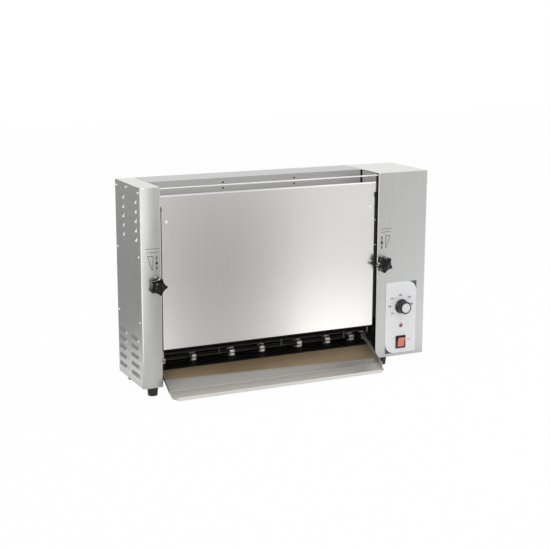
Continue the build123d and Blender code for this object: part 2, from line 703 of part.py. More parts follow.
rungs = []
for number in range(BELT_RUNGS):
    back, up, tilt = belt_place((number + 1 / 2) * belt_length / BELT_RUNGS)
    bar = Box(belt_right - belt_left, BELT_WIRE, BELT_WIRE)
    rungs.append(Pos((belt_left + belt_right) / 2, back, up) * Rot(-degrees(tilt), 0, 0) * bar)
straps = []
strap_span = (belt_right - belt_left - BELT_WIRE) / (BELT_STRAPS - 1)
strap_inset = (BELT_WIRE - BELT_STRAP) / 2
for number in range(BELT_STRAPS):
    x = belt_left + BELT_WIRE / 2 + number * strap_span
    straps.append(loop_band(belt_inner_r + strap_inset, belt_outer_r - strap_inset,
                            x - BELT_STRAP / 2, x + BELT_STRAP / 2, DRIVE_UP, IDLER_UP))
wire_belt = straps[0].fuse(*straps[1:], *rungs)

backing_back = SHAFT_BACK - belt_inner_r + BACKING_GAP
belt_backing_plate = folded([(backing_back + BACKING_FLANGE, BACKING_TOP_UP),
                             (backing_back, BACKING_TOP_UP),
                             (backing_back, BACKING_LOW_UP),
                             (backing_back + BACKING_FLANGE, BACKING_LOW_UP)],
                            SHEET, chamber_left, chamber_right)

# Chain loop, gear motor and its bracket
chain_inner_r = CHAIN_PULLEY_R + GAP
drive_chain = loop_band(chain_inner_r, chain_inner_r + CHAIN_THICK, chain_x - CHAIN_WIDTH / 2,
                        chain_x + CHAIN_WIDTH / 2, DRIVE_UP, MOTOR_UP)
motor_plate_x = chamber_right + MOTOR_PLATE_OUT
gearbox_x = motor_plate_x + MOTOR_PLATE
motor_bracket = block(motor_plate_x, gearbox_x, SHAFT_BACK - MOTOR_PLATE_HALF,
                      SHAFT_BACK + MOTOR_PLATE_HALF, PAN, MOTOR_UP + MOTOR_PLATE_RISE)
motor_bracket += block(gearbox_x, gearbox_x + MOTOR_FOOT, SHAFT_BACK - MOTOR_PLATE_HALF,
                       SHAFT_BACK + MOTOR_PLATE_HALF, PAN, PAN + MOTOR_PLATE)
motor_bracket -= rod_x(motor_plate_x - CUT, gearbox_x + CUT, SHAFT_BACK, MOTOR_UP,
                       MOTOR_SHAFT_R + MOTOR_PLATE)
motor_end = gearbox_x + GEARBOX_LENGTH
gear_motor = block(gearbox_x, motor_end, SHAFT_BACK - GEARBOX_HALF, SHAFT_BACK + GEARBOX_HALF,
                   MOTOR_UP - GEARBOX_HALF, MOTOR_UP + GEARBOX_HALF)
gear_motor = chamfer(gear_motor.edges().filter_by(Axis.X), GEARBOX_EDGE)
gear_motor += rod_x(motor_end, motor_end + MOTOR_LENGTH, SHAFT_BACK, MOTOR_UP, MOTOR_R)
gear_motor -= rod_x(gearbox_x - CUT, gearbox_x + MOTOR_SHAFT_BURY + GAP, SHAFT_BACK, MOTOR_UP,
                    MOTOR_SHAFT_R + FIT)
motor_sprocket = Pos(chain_x, SHAFT_BACK, MOTOR_UP) * chain_wheel
motor_sprocket += rod_x(chain_x, gearbox_x + MOTOR_SHAFT_BURY, SHAFT_BACK, MOTOR_UP, MOTOR_SHAFT_R)

# Platen with hairpin heating elements, clamp bars, end plates, release sheet and its rod
platen_left = chamber_left + PLATEN_SIDE_GAP
platen_right = chamber_right - PLATEN_SIDE_GAP
platen = block(platen_left, platen_right, platen_front_back, platen_rear_back,
               PLATEN_LOW_UP, PLATEN_TOP_UP)
heating_elements = []
start = platen_right - ELEMENT_END_GAP
bend = platen_left + ELEMENT_END_GAP + ELEMENT_BEND_R
for up in ELEMENT_ROWS_UP:
    legs = [rod_x(bend, start, element_back, up + turn * ELEMENT_BEND_R, ELEMENT_R) for turn in (-1, 1)]
    ring = Pos(bend, element_back, up) * Rot(90, 0, 0) * Torus(ELEMENT_BEND_R, ELEMENT_R)
    reach = ELEMENT_BEND_R + ELEMENT_R + CUT
    half_ring = ring & block(bend - reach, bend, element_back - ELEMENT_R - CUT,
                             element_back + ELEMENT_R + CUT, up - reach, up + reach)
    heating_elements.append(half_ring + legs)

clamp_low = ELEMENT_ROWS_UP[0] - ELEMENT_BEND_R - CLAMP_OVERHANG
clamp_high = ELEMENT_ROWS_UP[-1] + ELEMENT_BEND_R + CLAMP_OVERHANG
element_clamps = []
clamp_pitch = (platen_right - platen_left) / CLAMPS
for number in range(CLAMPS):
    x = platen_left + clamp_pitch * (number + 1 / 2)
    bar = block(x - CLAMP_WIDTH / 2, x + CLAMP_WIDTH / 2, clamp_back - CLAMP_THICK, clamp_back,
                clamp_low, clamp_high)
    for foot_up in (clamp_low, clamp_high - CLAMP_THICK):
        bar += block(x - CLAMP_WIDTH / 2, x + CLAMP_WIDTH / 2, clamp_back, platen_front_back,
                     foot_up, foot_up + CLAMP_THICK)
    element_clamps.append(bar)

platen_carriers = []
for side in (LEFT, RIGHT):
    near = wall_x(side, -PLATEN_SIDE_GAP)
    far = near + side * END_PLATE
    carrier = block(near, far, platen_front_back, platen_rear_back, PLATEN_LOW_UP, PLATEN_TOP_UP)
    carrier += block(near, far, LUG_FRONT_BACK, LUG_REAR_BACK, LUG_LOW_UP, LUG_TOP_UP)
    for up in TAB_ROWS_UP:
        carrier += block(near, wall_x(side, WALL + TAB_HALF), TAB_BACK - TAB_HALF,
                         TAB_BACK + TAB_HALF, up - TAB_HALF, up + TAB_HALF)
    carrier += block(near, wall_x(side, KNOB_OUT + NUT_HALF), TAB_BACK - NUT_DEPTH / 2,
                     TAB_BACK + NUT_DEPTH / 2, KNOB_UP - NUT_HALF, KNOB_UP + NUT_HALF)
    carrier -= rod_y(wall_x(side, KNOB_OUT), TAB_BACK - NUT_DEPTH, TAB_BACK + NUT_DEPTH, KNOB_UP,
                     SPINDLE_R + FIT)
    platen_carriers.append(carrier)

sheet_left = chamber_left + SHEET_SIDE_GAP
sheet_right = chamber_right - SHEET_SIDE_GAP
release_sheet = folded([(SHEET_ROD_BACK, SHEET_ROD_UP + SHEET_ROD_R), (sheet_face_back, SHEET_SKIRT_UP),
                        (sheet_face_back, PLATEN_TOP_UP + RELEASE_SHEET),
                        (platen_front_back, PLATEN_TOP_UP + RELEASE_SHEET)],
                       RELEASE_SHEET, sheet_left, sheet_right)

sheet_rod = rod_x(platen_left, platen_right, SHEET_ROD_BACK, SHEET_ROD_UP, SHEET_ROD_R)
for share in HOOK_SHARES:
    x = chamber_left + share * 2 * chamber_half
    hook_back = SHEET_ROD_BACK - HOOK_SHEET - GAP
    sheet_rod += folded([(hook_back, SHEET_ROD_UP + HOOK_RISE), (hook_back, SHEET_ROD_UP - HOOK_DROP),
                         (hook_back + HOOK_TOE, SHEET_ROD_UP - HOOK_DROP)],
                        HOOK_SHEET, x - HOOK_WIDTH / 2, x + HOOK_WIDTH / 2)


# Star knobs on screwed spindles, their bushes and rear supports
def star_knob(side, phase):
    # A disc scooped between its lobes. The phase is the angle of one lobe above the x direction.
    x = wall_x(side, KNOB_OUT)
    star = Circle(KNOB_R)
    for lobe in range(KNOB_LOBES):
        flute_angle = phase + (lobe + 1 / 2) * 360 / KNOB_LOBES
        star -= PolarLocations(KNOB_FLUTE_OUT, 1, start_angle=flute_angle) * Circle(KNOB_FLUTE_R)
    star = fillet(star.vertices(), KNOB_LOBE_ROUND)
    head = extrude(star, amount=KNOB_HEAD)
    head = chamfer(head.faces().sort_by(Axis.Z)[-1].outer_wire().edges(), KNOB_EDGE)
    hub_front = -BUSH_FLANGE - GAP - KNOB_HUB
    head = Pos(x, hub_front, KNOB_UP) * Rot(90, 0, 0) * head
    return head + cone_y(x, hub_front, hub_front + KNOB_HUB, KNOB_UP, KNOB_HUB_R, KNOB_HUB_FOOT_R)


def spindle(side):
    return rod_y(wall_x(side, KNOB_OUT), -BUSH_FLANGE - GAP, SPINDLE_END_BACK, KNOB_UP, SPINDLE_R)


left_star_knob = star_knob(LEFT, LEFT_KNOB_PHASE)
right_star_knob = star_knob(RIGHT, RIGHT_KNOB_PHASE)
left_spindle = spindle(LEFT)
right_spindle = spindle(RIGHT)
spindle_bushes = []
spindle_supports = []
for side in (LEFT, RIGHT):
    x = wall_x(side, KNOB_OUT)
    bush = rod_y(x, -BUSH_FLANGE, 0, KNOB_UP, BUSH_FLANGE_R)
    bush += rod_y(x, 0, BUSH_DEPTH, KNOB_UP, BUSH_R)
    spindle_bushes.append(bush - rod_y(x, -CUT, BUSH_DEPTH + CUT, KNOB_UP, SPINDLE_R + FIT))
    support = block(wall_x(side, WALL), wall_x(side, KNOB_OUT + NUT_HALF), SUPPORT_BACK,
                    SUPPORT_BACK + SUPPORT_THICK, KNOB_UP - NUT_HALF, KNOB_UP + NUT_HALF)
    spindle_supports.append(support - rod_y(x, SUPPORT_BACK - CUT, SUPPORT_BACK + SUPPORT_THICK + CUT,
                                            KNOB_UP, SPINDLE_R + FIT))


# Thickness pointers and the channels they slide in
def pointer(side):
    x = wall_x(side, POINTER_OUT)
    plate = block(x - POINTER_PLATE_WIDTH / 2, x + POINTER_PLATE_WIDTH / 2, SHEET + GAP,
                  SHEET + GAP + POINTER_PLATE_THICK, POINTER_UP - POINTER_PLATE_HALF,
                  POINTER_UP + POINTER_PLATE_HALF)
    return plate + block(x - POINTER_PEG_WIDTH / 2, x + POINTER_PEG_WIDTH / 2, -POINTER_PROUD,
                         SHEET + GAP, POINTER_UP - POINTER_PEG_HALF, POINTER_UP + POINTER_PEG_HALF)


left_pointer = pointer(LEFT)
right_pointer = pointer(RIGHT)
pointer_guides = []
for side in (LEFT, RIGHT):
    x = wall_x(side, POINTER_OUT)
    channel_half = POINTER_PLATE_WIDTH / 2 + GAP
    channel_back = SHEET + POINTER_PLATE_THICK + 2 * GAP
    guide = block(x - channel_half - GUIDE_WALL, x + channel_half + GUIDE_WALL, SHEET,
                  channel_back + GUIDE_BACK, POINTER_UP - GUIDE_HALF, POINTER_UP + GUIDE_HALF)
    pointer_guides.append(guide - block(x - channel_half, x + channel_half, SHEET - CUT, channel_back,
                                        POINTER_UP - GUIDE_HALF - CUT, POINTER_UP + GUIDE_HALF + CUT))

# Control plate with its dial, lamp and rocker switch
plate_right = right_side - PLATE_INSET
plate_left = plate_right - PLATE_WIDTH
control_plate = block(plate_left, plate_right, -PLATE_THICK, 0, PLATE_LOW_UP, PLATE_TOP_UP)
control_plate = fillet(control_plate.edges().filter_by(Axis.Y), PLATE_CORNER)
control_plate -= [regulator_hole, lamp_hole, rocker_hole]

dial_back = -PLATE_THICK - GAP
dial_knob = rod_y(dial_x, dial_back - DIAL_HEIGHT, dial_back - DIAL_SKIRT, DIAL_UP, DIAL_TOP_R)
dial_knob += cone_y(dial_x, dial_back - DIAL_SKIRT, dial_back, DIAL_UP, DIAL_TOP_R, DIAL_R)
flutes = []
for number in range(DIAL_FLUTES):
    angle = 2 * pi * number / DIAL_FLUTES
    flutes.append(rod_y(dial_x + DIAL_TOP_R * cos(angle), dial_back - DIAL_HEIGHT - CUT,
                        dial_back - DIAL_SKIRT, DIAL_UP + DIAL_TOP_R * sin(angle), DIAL_FLUTE_R))
dial_knob -= flutes
dial_knob += rod_y(dial_x, dial_back, SHEET + DIAL_SHAFT_BURY, DIAL_UP, DIAL_SHAFT_R)
dial_cap = rod_y(dial_x, dial_back - DIAL_HEIGHT - DIAL_CAP, dial_back - DIAL_HEIGHT, DIAL_UP, DIAL_CAP_R)

regulator = block(dial_x - REGULATOR_HALF, dial_x + REGULATOR_HALF, SHEET, SHEET + REGULATOR_DEPTH,
                  DIAL_UP - REGULATOR_HALF, DIAL_UP + REGULATOR_HALF)
regulator = chamfer(regulator.edges().filter_by(Axis.Y), REGULATOR_EDGE)
regulator += rod_y(dial_x, -PLATE_THICK, SHEET, DIAL_UP, REGULATOR_NECK_R)
regulator -= rod_y(dial_x, -CUT, SHEET + DIAL_SHAFT_BURY + GAP, DIAL_UP, DIAL_SHAFT_R + FIT)

lamp_front = -PLATE_THICK - LAMP_BEZEL
lamp_bezel = rod_y(lamp_x, lamp_front, -PLATE_THICK, LAMP_UP, LAMP_BEZEL_R)
lamp_bezel = chamfer(lamp_bezel.edges().sort_by(Axis.Y)[0], LAMP_BEZEL / 2)
lamp_bezel -= rod_y(lamp_x, -CUT, CUT, LAMP_UP, LAMP_R)
lamp_lens = rod_y(lamp_x, lamp_front, -PLATE_THICK, LAMP_UP, LAMP_R)
lamp_lens += cone_y(lamp_x, lamp_front - LAMP_DOME, lamp_front, LAMP_UP, LAMP_R / 2, LAMP_R)
lamp_lens += rod_y(lamp_x, -PLATE_THICK, LAMP_DEPTH, LAMP_UP, LAMP_NECK_R)

bezel_front = -PLATE_THICK - BEZEL_PROUD
rocker_housing = block(rocker_x - BEZEL_WIDTH / 2, rocker_x + BEZEL_WIDTH / 2, bezel_front, -PLATE_THICK,
                       ROCKER_UP - BEZEL_HEIGHT / 2, ROCKER_UP + BEZEL_HEIGHT / 2)
rocker_housing = chamfer(rocker_housing.faces().sort_by(Axis.Y)[0].edges(), BEZEL_PROUD / 2)
rocker_housing += block(rocker_x - SWITCH_WIDTH / 2, rocker_x + SWITCH_WIDTH / 2, -PLATE_THICK,
                        SWITCH_DEPTH, ROCKER_UP - SWITCH_HEIGHT / 2, ROCKER_UP + SWITCH_HEIGHT / 2)
well_width = SWITCH_WIDTH - 2 * SWITCH_WALL
well_height = SWITCH_HEIGHT - 2 * SWITCH_WALL
rocker_housing -= block(rocker_x - well_width / 2, rocker_x + well_width / 2, -CUT, SWITCH_WELL,
                        ROCKER_UP - well_height / 2, ROCKER_UP + well_height / 2)
rocker_housing -= rod_x(rocker_x - SWITCH_WIDTH / 2 - CUT, rocker_x + SWITCH_WIDTH / 2 + CUT, 0, ROCKER_UP,
                        ROCKER_PIN_R + FIT)

rocker_outline = [(-ROCKER_FACE, -ROCKER_HALF), (-ROCKER_WAIST, 0), (-ROCKER_FACE, ROCKER_HALF),
                  (ROCKER_ROOT, ROCKER_HALF * ROCKER_ROOT_SHARE),
                  (ROCKER_ROOT, -ROCKER_HALF * ROCKER_ROOT_SHARE)]
rocker_half_width = well_width / 2 - ROCKER_SIDE_GAP
rocker_pin_half = SWITCH_WIDTH / 2 - ROCKER_PIN_END
rocker = side_profile(rocker_outline, -rocker_half_width, rocker_half_width)
rocker += rod_x(-rocker_pin_half, rocker_pin_half, 0, 0, ROCKER_PIN_R)
rocker = Pos(rocker_x, 0, ROCKER_UP) * Rot(ROCKER_TILT, 0, 0) * rocker

# Outfeed tray: rolled front hem with cut corners, sloping floor, side strips with arms behind
tray_floor = [(TRAY_HEM_R - TRAY_REACH, TRAY_LIP_UP + TRAY_HEM_R * lip_slope),
              (TRAY_BEND_BACK, TRAY_BEND_UP), (TRAY_REAR_BACK, TRAY_REAR_UP)]
hem_back = -TRAY_REACH + 2 * TRAY_HEM_R
hem_top = TRAY_LIP_UP + TRAY_HEM_HEIGHT - TRAY_HEM_R
outfeed_tray = folded(tray_floor, SHEET, tray_left, tray_right)
outfeed_tray += block(tray_left, tray_right, -TRAY_REACH, hem_back, TRAY_LIP_UP, hem_top)
outfeed_tray += rod_x(tray_left, tray_right, hem_back - TRAY_HEM_R, hem_top, TRAY_HEM_R)
corners = []
corner_end = TRAY_CORNER_DEPTH - TRAY_REACH
for x, inward in ((tray_left, RIGHT), (tray_right, LEFT)):
    out = x - inward * CUT
    across = x + inward * TRAY_CORNER_WIDTH
    outline = [(out, corner_end), (x, corner_end), (across, -TRAY_REACH), (across, -TRAY_REACH - CUT),
               (out, -TRAY_REACH - CUT)]
    corner = extrude(make_face(Polyline(*outline, close=True)), amount=TRAY_HEM_HEIGHT + CUT, both=True)
    corners.append(Pos(0, 0, TRAY_LIP_UP) * corner)
outfeed_tray -= corners
side_front_up = TRAY_LIP_UP + (TRAY_SIDE_FRONT + TRAY_REACH) * lip_slope
tray_side = [(TRAY_SIDE_FRONT, side_front_up), (TRAY_BEND_BACK, TRAY_BEND_UP),
             (TRAY_REAR_BACK, TRAY_REAR_UP), (TRAY_ARM_BACK, TRAY_ARM_UP),
             (TRAY_ARM_BACK, TRAY_ARM_UP + TRAY_ARM_HEIGHT),
             (TRAY_REAR_BACK, TRAY_REAR_UP + TRAY_SIDE_HEIGHT),
             (TRAY_BEND_BACK, TRAY_BEND_UP + TRAY_SIDE_HEIGHT),
             (TRAY_SIDE_FRONT, side_front_up + TRAY_SIDE_HEIGHT)]
outfeed_tray += side_profile(tray_side, tray_left, tray_left + SHEET)
outfeed_tray += side_profile(tray_side, tray_right - SHEET, tray_right)

stud_drop = (STUD_R + GAP) * (1 + tray_slope ** 2) ** (1 / 2)
stud_up = TRAY_BEND_UP + (STUD_BACK - TRAY_BEND_BACK) * tray_slope - stud_drop
hold_up = TRAY_ARM_UP + TRAY_ARM_HEIGHT + HOLD_GAP + STUD_R
tray_supports = []
for side in (LEFT, RIGHT):
    bracket = side_profile(BRACKET_OUTLINE, wall_x(side, 0), wall_x(side, -BRACKET_SHEET))
    bracket += rod_x(wall_x(side, -BRACKET_SHEET), wall_x(side, -STUD_REACH), STUD_BACK, stud_up, STUD_R)
    bracket += rod_x(wall_x(side, -BRACKET_SHEET), wall_x(side, -STUD_REACH), HOLD_BACK, hold_up, STUD_R)
    tray_supports.append(bracket)

chute = folded([(CHUTE_HEEL_BACK + CHUTE_FOOT, PAN), (CHUTE_HEEL_BACK, PAN),
                (CHUTE_HEEL_BACK, CHUTE_HEEL_UP), (CHUTE_CREST_BACK, CHUTE_CREST_UP),
                (CHUTE_FRONT_BACK, CHUTE_FRONT_UP)][::-1], SHEET,
               chamber_left + BRACKET_SHEET, chamber_right - BRACKET_SHEET)

# Terminal block and the bushed wiring inlet in the back of the control box
terminal_left = wall_x(RIGHT, TERMINAL_OUT)
terminal_front = DEPTH - TERMINAL_REAR_SPACE - TERMINAL_DEPTH
terminal_block = block(terminal_left, terminal_left + TERMINAL_LENGTH, terminal_front,
                       terminal_front + TERMINAL_DEPTH, PAN, PAN + TERMINAL_HEIGHT)
way_pitch = TERMINAL_LENGTH / TERMINAL_WAYS
for way in range(TERMINAL_WAYS):
    x = terminal_left + way_pitch * (way + 1 / 2)
    terminal_block -= block(x - way_pitch / 4, x + way_pitch / 4, terminal_front - CUT,
                            terminal_front + TERMINAL_DEPTH / 3, PAN + TERMINAL_HEIGHT / 2,
                            PAN + TERMINAL_HEIGHT + CUT)
inlet_bush = rod_y(inlet_x, DEPTH, DEPTH + INLET_FLANGE, INLET_UP, INLET_FLANGE_R)
inlet_bush = chamfer(inlet_bush.edges().sort_by(Axis.Y)[-1], INLET_FLANGE / 2)
inlet_bush += rod_y(inlet_x, DEPTH - INLET_DEPTH, DEPTH, INLET_UP, INLET_R)
inlet_bush -= rod_y(inlet_x, DEPTH - INLET_DEPTH - CUT, DEPTH + CUT, INLET_UP, INLET_BORE_R)

nodes = {
    "left_casing": left_casing,
    "right_casing": right_casing,
    "left_inner_wall": left_inner_wall,
    "right_inner_wall": right_inner_wall,
    "base_pan": base_pan,
    "rear_cover": rear_cover,
    "top_cover": top_cover,
    "guide_rod": guide_rod,
    "slot_cheeks": group(slot_cheeks),
    "casing_screws": group(casing_screws),
    "cover_screws": group(cover_screws),
    "lane_screws": group(lane_screws),
    "wall_screws": group(wall_screws),
    "rubber_feet": group(rubber_feet),
    "front_panel": front_panel,
    "panel_rivets": group(panel_rivets),
    "panel_ledges": group(panel_ledges),
    "heat_shield": heat_shield,
    "cross_rail": cross_rail,
    "drive_shaft": drive_shaft,
    "idler_shaft": idler_shaft,
    "drive_sprockets": group(drive_sprockets),
    "idler_sprockets": group(idler_sprockets),
    "driven_sprocket": driven_sprocket,
    "shaft_bearings": group(shaft_bearings),
    "wire_belt": wire_belt,
    "belt_backing_plate": belt_backing_plate,
    "drive_chain": drive_chain,
    "motor_bracket": motor_bracket,
    "gear_motor": gear_motor,
    "motor_sprocket": motor_sprocket,
    "platen": platen,
    "heating_elements": group(heating_elements),
    "element_clamps": group(element_clamps),
    "platen_carriers": group(platen_carriers),
    "release_sheet": release_sheet,
    "sheet_rod": sheet_rod,
    "left_star_knob": left_star_knob,
    "right_star_knob": right_star_knob,
    "left_spindle": left_spindle,
    "right_spindle": right_spindle,
    "spindle_bushes": group(spindle_bushes),
    "spindle_supports": group(spindle_supports),
    "left_pointer": left_pointer,
    "right_pointer": right_pointer,
    "pointer_guides": group(pointer_guides),
    "control_plate": control_plate,
    "dial_knob": dial_knob,
    "dial_cap": dial_cap,
    "heat_regulator": regulator,
    "lamp_bezel": lamp_bezel,
    "lamp_lens": lamp_lens,
    "rocker_housing": rocker_housing,
    "rocker": rocker,
    "outfeed_tray": outfeed_tray,
    "tray_supports": group(tray_supports),
    "chute": chute,
    "terminal_block": terminal_block,
    "inlet_bush": inlet_bush,
}

# The finished part stands on its feet, centred over its own outline
os.makedirs("parts", exist_ok=True)
for name, shape in nodes.items():
    export_step(Pos(0, front_shift, FOOT_HEIGHT) * shape, f"parts/{name}.step")
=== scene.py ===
from math import cos, dist, pi, radians, sin

import bmesh
import bpy
from mathutils import Matrix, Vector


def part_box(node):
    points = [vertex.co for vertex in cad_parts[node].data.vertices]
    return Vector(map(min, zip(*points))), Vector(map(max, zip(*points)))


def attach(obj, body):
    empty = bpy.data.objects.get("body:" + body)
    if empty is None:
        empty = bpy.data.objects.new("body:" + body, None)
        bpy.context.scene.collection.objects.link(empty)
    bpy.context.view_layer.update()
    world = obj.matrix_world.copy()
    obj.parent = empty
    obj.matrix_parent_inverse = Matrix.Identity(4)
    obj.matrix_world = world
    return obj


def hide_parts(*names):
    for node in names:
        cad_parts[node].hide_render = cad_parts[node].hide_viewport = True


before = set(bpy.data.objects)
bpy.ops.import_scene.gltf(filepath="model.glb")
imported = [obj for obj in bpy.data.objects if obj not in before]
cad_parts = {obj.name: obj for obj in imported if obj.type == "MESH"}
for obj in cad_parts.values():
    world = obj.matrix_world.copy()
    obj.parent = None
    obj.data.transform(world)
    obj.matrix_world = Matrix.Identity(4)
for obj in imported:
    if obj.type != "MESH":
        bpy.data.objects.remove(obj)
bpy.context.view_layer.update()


# The studio: a white seamless floor and backdrop, and the camera that the photograph was taken
# from, above and to the left. Both show white in the picture and in the metal, and light the rest
# a little less, so that the floor keeps a faint contact shadow.
scene = bpy.context.scene
scene.view_settings.view_transform = "Standard"

camera_data = bpy.data.cameras.new("camera")
camera_data.lens = 80.26
camera_data.sensor_width = 36
camera = bpy.data.objects.new("camera", camera_data)
turn = Matrix.Rotation(radians(-25.474), 4, "Z") @ Matrix.Rotation(radians(90 - 12.356), 4, "X")
turn = turn @ Matrix.Rotation(radians(0.176), 4, "Z")
camera.matrix_world = Matrix.Translation((-1.19229, -2.47553, 0.83285)) @ turn
scene.collection.objects.link(camera)
scene.camera = camera

floor_mesh = bpy.data.meshes.new("floor")
floor_build = bmesh.new()
bmesh.ops.create_grid(floor_build, x_segments=1, y_segments=1, size=6.0)
floor_build.to_mesh(floor_mesh)
floor_build.free()
floor = bpy.data.objects.new("floor", floor_mesh)
scene.collection.objects.link(floor)


def linear(hex_colour):
    channels = [int(hex_colour[i:i + 2], 16) / 255 for i in (1, 3, 5)]
    return [c / 12.92 if c <= 0.04045 else ((c + 0.055) / 1.055) ** 2.4 for c in channels] + [1.0]


def add_node(tree, kind, inputs=None, **settings):
    node = tree.nodes.new(kind)
    for name, value in settings.items():
        setattr(node, name, value)
    for socket, value in (inputs or {}).items():
        if isinstance(value, bpy.types.NodeSocket):
            tree.links.new(value, node.inputs[socket])
        else:
            node.inputs[socket].default_value = value
    return node


def shown(tree):
    # 1 for what the camera, the metal and clear parts see directly, and 0 for plain light.
    path = add_node(tree, "ShaderNodeLightPath").outputs
    mirrored = add_node(tree, "ShaderNodeMath", {0: path["Is Camera Ray"], 1: path["Is Glossy Ray"]},
                        operation="MAXIMUM")
    return add_node(tree, "ShaderNodeMath", {0: mirrored.outputs[0], 1: path["Is Transmission Ray"]},
                    operation="MAXIMUM").outputs[0]


floor_paint = bpy.data.materials.new("white_seamless_paper")
floor_paint.use_nodes = True
paper = floor_paint.node_tree
paper.nodes.clear()
paper_share = add_node(paper, "ShaderNodeMath", {0: shown(paper), 1: 0.97}, operation="MULTIPLY")
paper_matt = add_node(paper, "ShaderNodeBsdfDiffuse", {"Color": linear("#f4f4f3")})
paper_white = add_node(paper, "ShaderNodeEmission", {"Color": (1, 1, 1, 1), "Strength": 1.0})
paper_mix = add_node(paper, "ShaderNodeMixShader", {0: paper_share.outputs[0], 1: paper_matt.outputs[0],
                                                   2: paper_white.outputs[0]})
add_node(paper, "ShaderNodeOutputMaterial", {"Surface": paper_mix.outputs[0]})
floor_mesh.materials.append(floor_paint)

world = bpy.data.worlds.new("studio")
scene.world = world
world.use_nodes = True
air = world.node_tree
air.nodes.clear()
air_strength = add_node(air, "ShaderNodeMapRange", {"Value": shown(air), "To Min": 0.75, "To Max": 1.0})
air_back = add_node(air, "ShaderNodeBackground", {"Color": (1, 1, 1, 1), "Strength": air_strength.outputs[0]})
add_node(air, "ShaderNodeOutputWorld", {"Surface": air_back.outputs[0]})


# The lamps: one wide soft box overhead gives the even light of the studio, and a low strip in front
# of the opening shows the pale hubs of the belt in the dark. Boards that only the metal sees stand
# for the grey and white cards round the set, and shade the brushed sheets.
for name, wide, deep, energy, middle, tilt in (
        ("overhead_box", 2.4, 1.6, 16, (0.2, -0.3, 2.4), 7),
        ("opening_strip", 0.5, 0.03, 0.16, (-0.04, -0.076, 0.062), 78)):
    light = bpy.data.lights.new(name, "AREA")
    light.shape = "RECTANGLE"
    light.size, light.size_y, light.energy = wide, deep, energy
    lamp = bpy.data.objects.new(name, light)
    lamp.matrix_world = Matrix.Translation(middle) @ Matrix.Rotation(radians(tilt), 4, "X")
    lamp.visible_camera = False
    lamp.visible_glossy = name == "overhead_box"
    scene.collection.objects.link(lamp)


def board(name, corners, along, tones, fan=None, near=None):
    # A flat board of four corners that glows in a run of (place, tone) stops along one direction.
    # fan = (x, y, depth) runs the tones as rays from a point on the floor, and near = (y, y, gain)
    # makes the board stronger towards the object.
    mesh = bpy.data.meshes.new(name)
    build = bmesh.new()
    build.faces.new([build.verts.new(corner) for corner in corners])
    build.to_mesh(mesh)
    build.free()
    paint = bpy.data.materials.new(name + "_glow")
    paint.use_nodes = True
    tree = paint.node_tree
    tree.nodes.clear()
    coords = add_node(tree, "ShaderNodeTexCoord")
    place = add_node(tree, "ShaderNodeVectorMath", {0: coords.outputs["Object"], 1: along},
                     operation="DOT_PRODUCT")
    at = place.outputs["Value"]
    flat = add_node(tree, "ShaderNodeSeparateXYZ", {"Vector": coords.outputs["Object"]}).outputs
    if fan:
        aside = add_node(tree, "ShaderNodeMath", {0: flat["X"], 1: fan[0]}, operation="SUBTRACT")
        ahead = add_node(tree, "ShaderNodeMath", {0: fan[1], 1: flat["Y"]}, operation="SUBTRACT")
        ray = add_node(tree, "ShaderNodeMath", {0: aside.outputs[0], 1: ahead.outputs[0]}, operation="DIVIDE")
        at = add_node(tree, "ShaderNodeMath", {0: ray.outputs[0], 1: fan[2], 2: fan[0]},
                      operation="MULTIPLY_ADD").outputs[0]
    first, last = tones[0][0], tones[-1][0]
    spread = add_node(tree, "ShaderNodeMapRange", {"Value": at, "From Min": first, "From Max": last})
    run = add_node(tree, "ShaderNodeValToRGB", {"Fac": spread.outputs[0]})
    brightest = max(tone for _, tone in tones)
    stops = run.color_ramp.elements
    while len(stops) < len(tones):
        stops.new(0.5)
    for stop, (along_at, tone) in zip(stops, tones):
        stop.position = (along_at - first) / (last - first)
        stop.color = [tone / brightest] * 3 + [1]
    glow = add_node(tree, "ShaderNodeEmission", {"Color": run.outputs["Color"], "Strength": brightest})
    if near:
        gain = add_node(tree, "ShaderNodeMapRange", {"Value": flat["Y"], "From Min": near[0],
                                                    "From Max": near[1], "To Min": brightest,
                                                    "To Max": brightest * near[2]})
        tree.links.new(gain.outputs[0], glow.inputs["Strength"])
    add_node(tree, "ShaderNodeOutputMaterial", {"Surface": glow.outputs[0]})
    mesh.materials.append(paint)
    card = bpy.data.objects.new(name, mesh)
    scene.collection.objects.link(card)
    for rays in ("visible_camera", "visible_diffuse", "visible_shadow", "visible_transmission"):
        setattr(card, rays, False)


# The front board's tones run as rays, which show as upright bands on the panel. The spark card leaves
# the small bright marks on the knobs, and the slot card stands for the light that falls into the slot.
board("front_board",
      ((-2.6, -4.2, 0.002), (3.4, -4.2, 0.002), (3.4, -0.13, 0.002), (-2.6, -0.13, 0.002)),
      (1, 0, 0), ((-1.1, 2.2), (-0.7, 1.9), (-0.5, 0.7), (-0.34, 0.80), (-0.245, 0.46), (-0.15, 0.42),
                  (-0.07, 0.55), (-0.01, 0.68), (0.03, 1.0), (0.1, 1.06), (0.2, 1.04), (0.24, 0.74),
                  (0.29, 0.8), (0.36, 1.1), (0.5, 1.3)),
      fan=(-1.192, 2.37, 2.42), near=(-1.1, -0.45, 1.45))
board("left_board", ((-2.6, 0, 0.002), (-0.38, 0, 0.002), (-0.38, 4, 0.002), (-2.6, 4, 0.002)),
      (0, 1, 0), ((0, 1.4), (0.2, 1.2), (0.35, 0.8), (0.5, 0.52), (4, 0.46)))
board("left_screen", ((-6, 2.9, 0), (-0.2, 2.9, 0), (-0.2, 2.9, 3.6), (-6, 2.9, 3.6)), (0, 0, 1),
      ((0, 0.5), (3.6, 0.42)))
board("back_screen", ((-0.2, 3, 0.55), (4.4, 3, 0.55), (4.4, 3, 1.7), (-0.2, 3, 1.7)), (0, 0, 1),
      ((0.55, 1.6), (1.7, 1.6)))
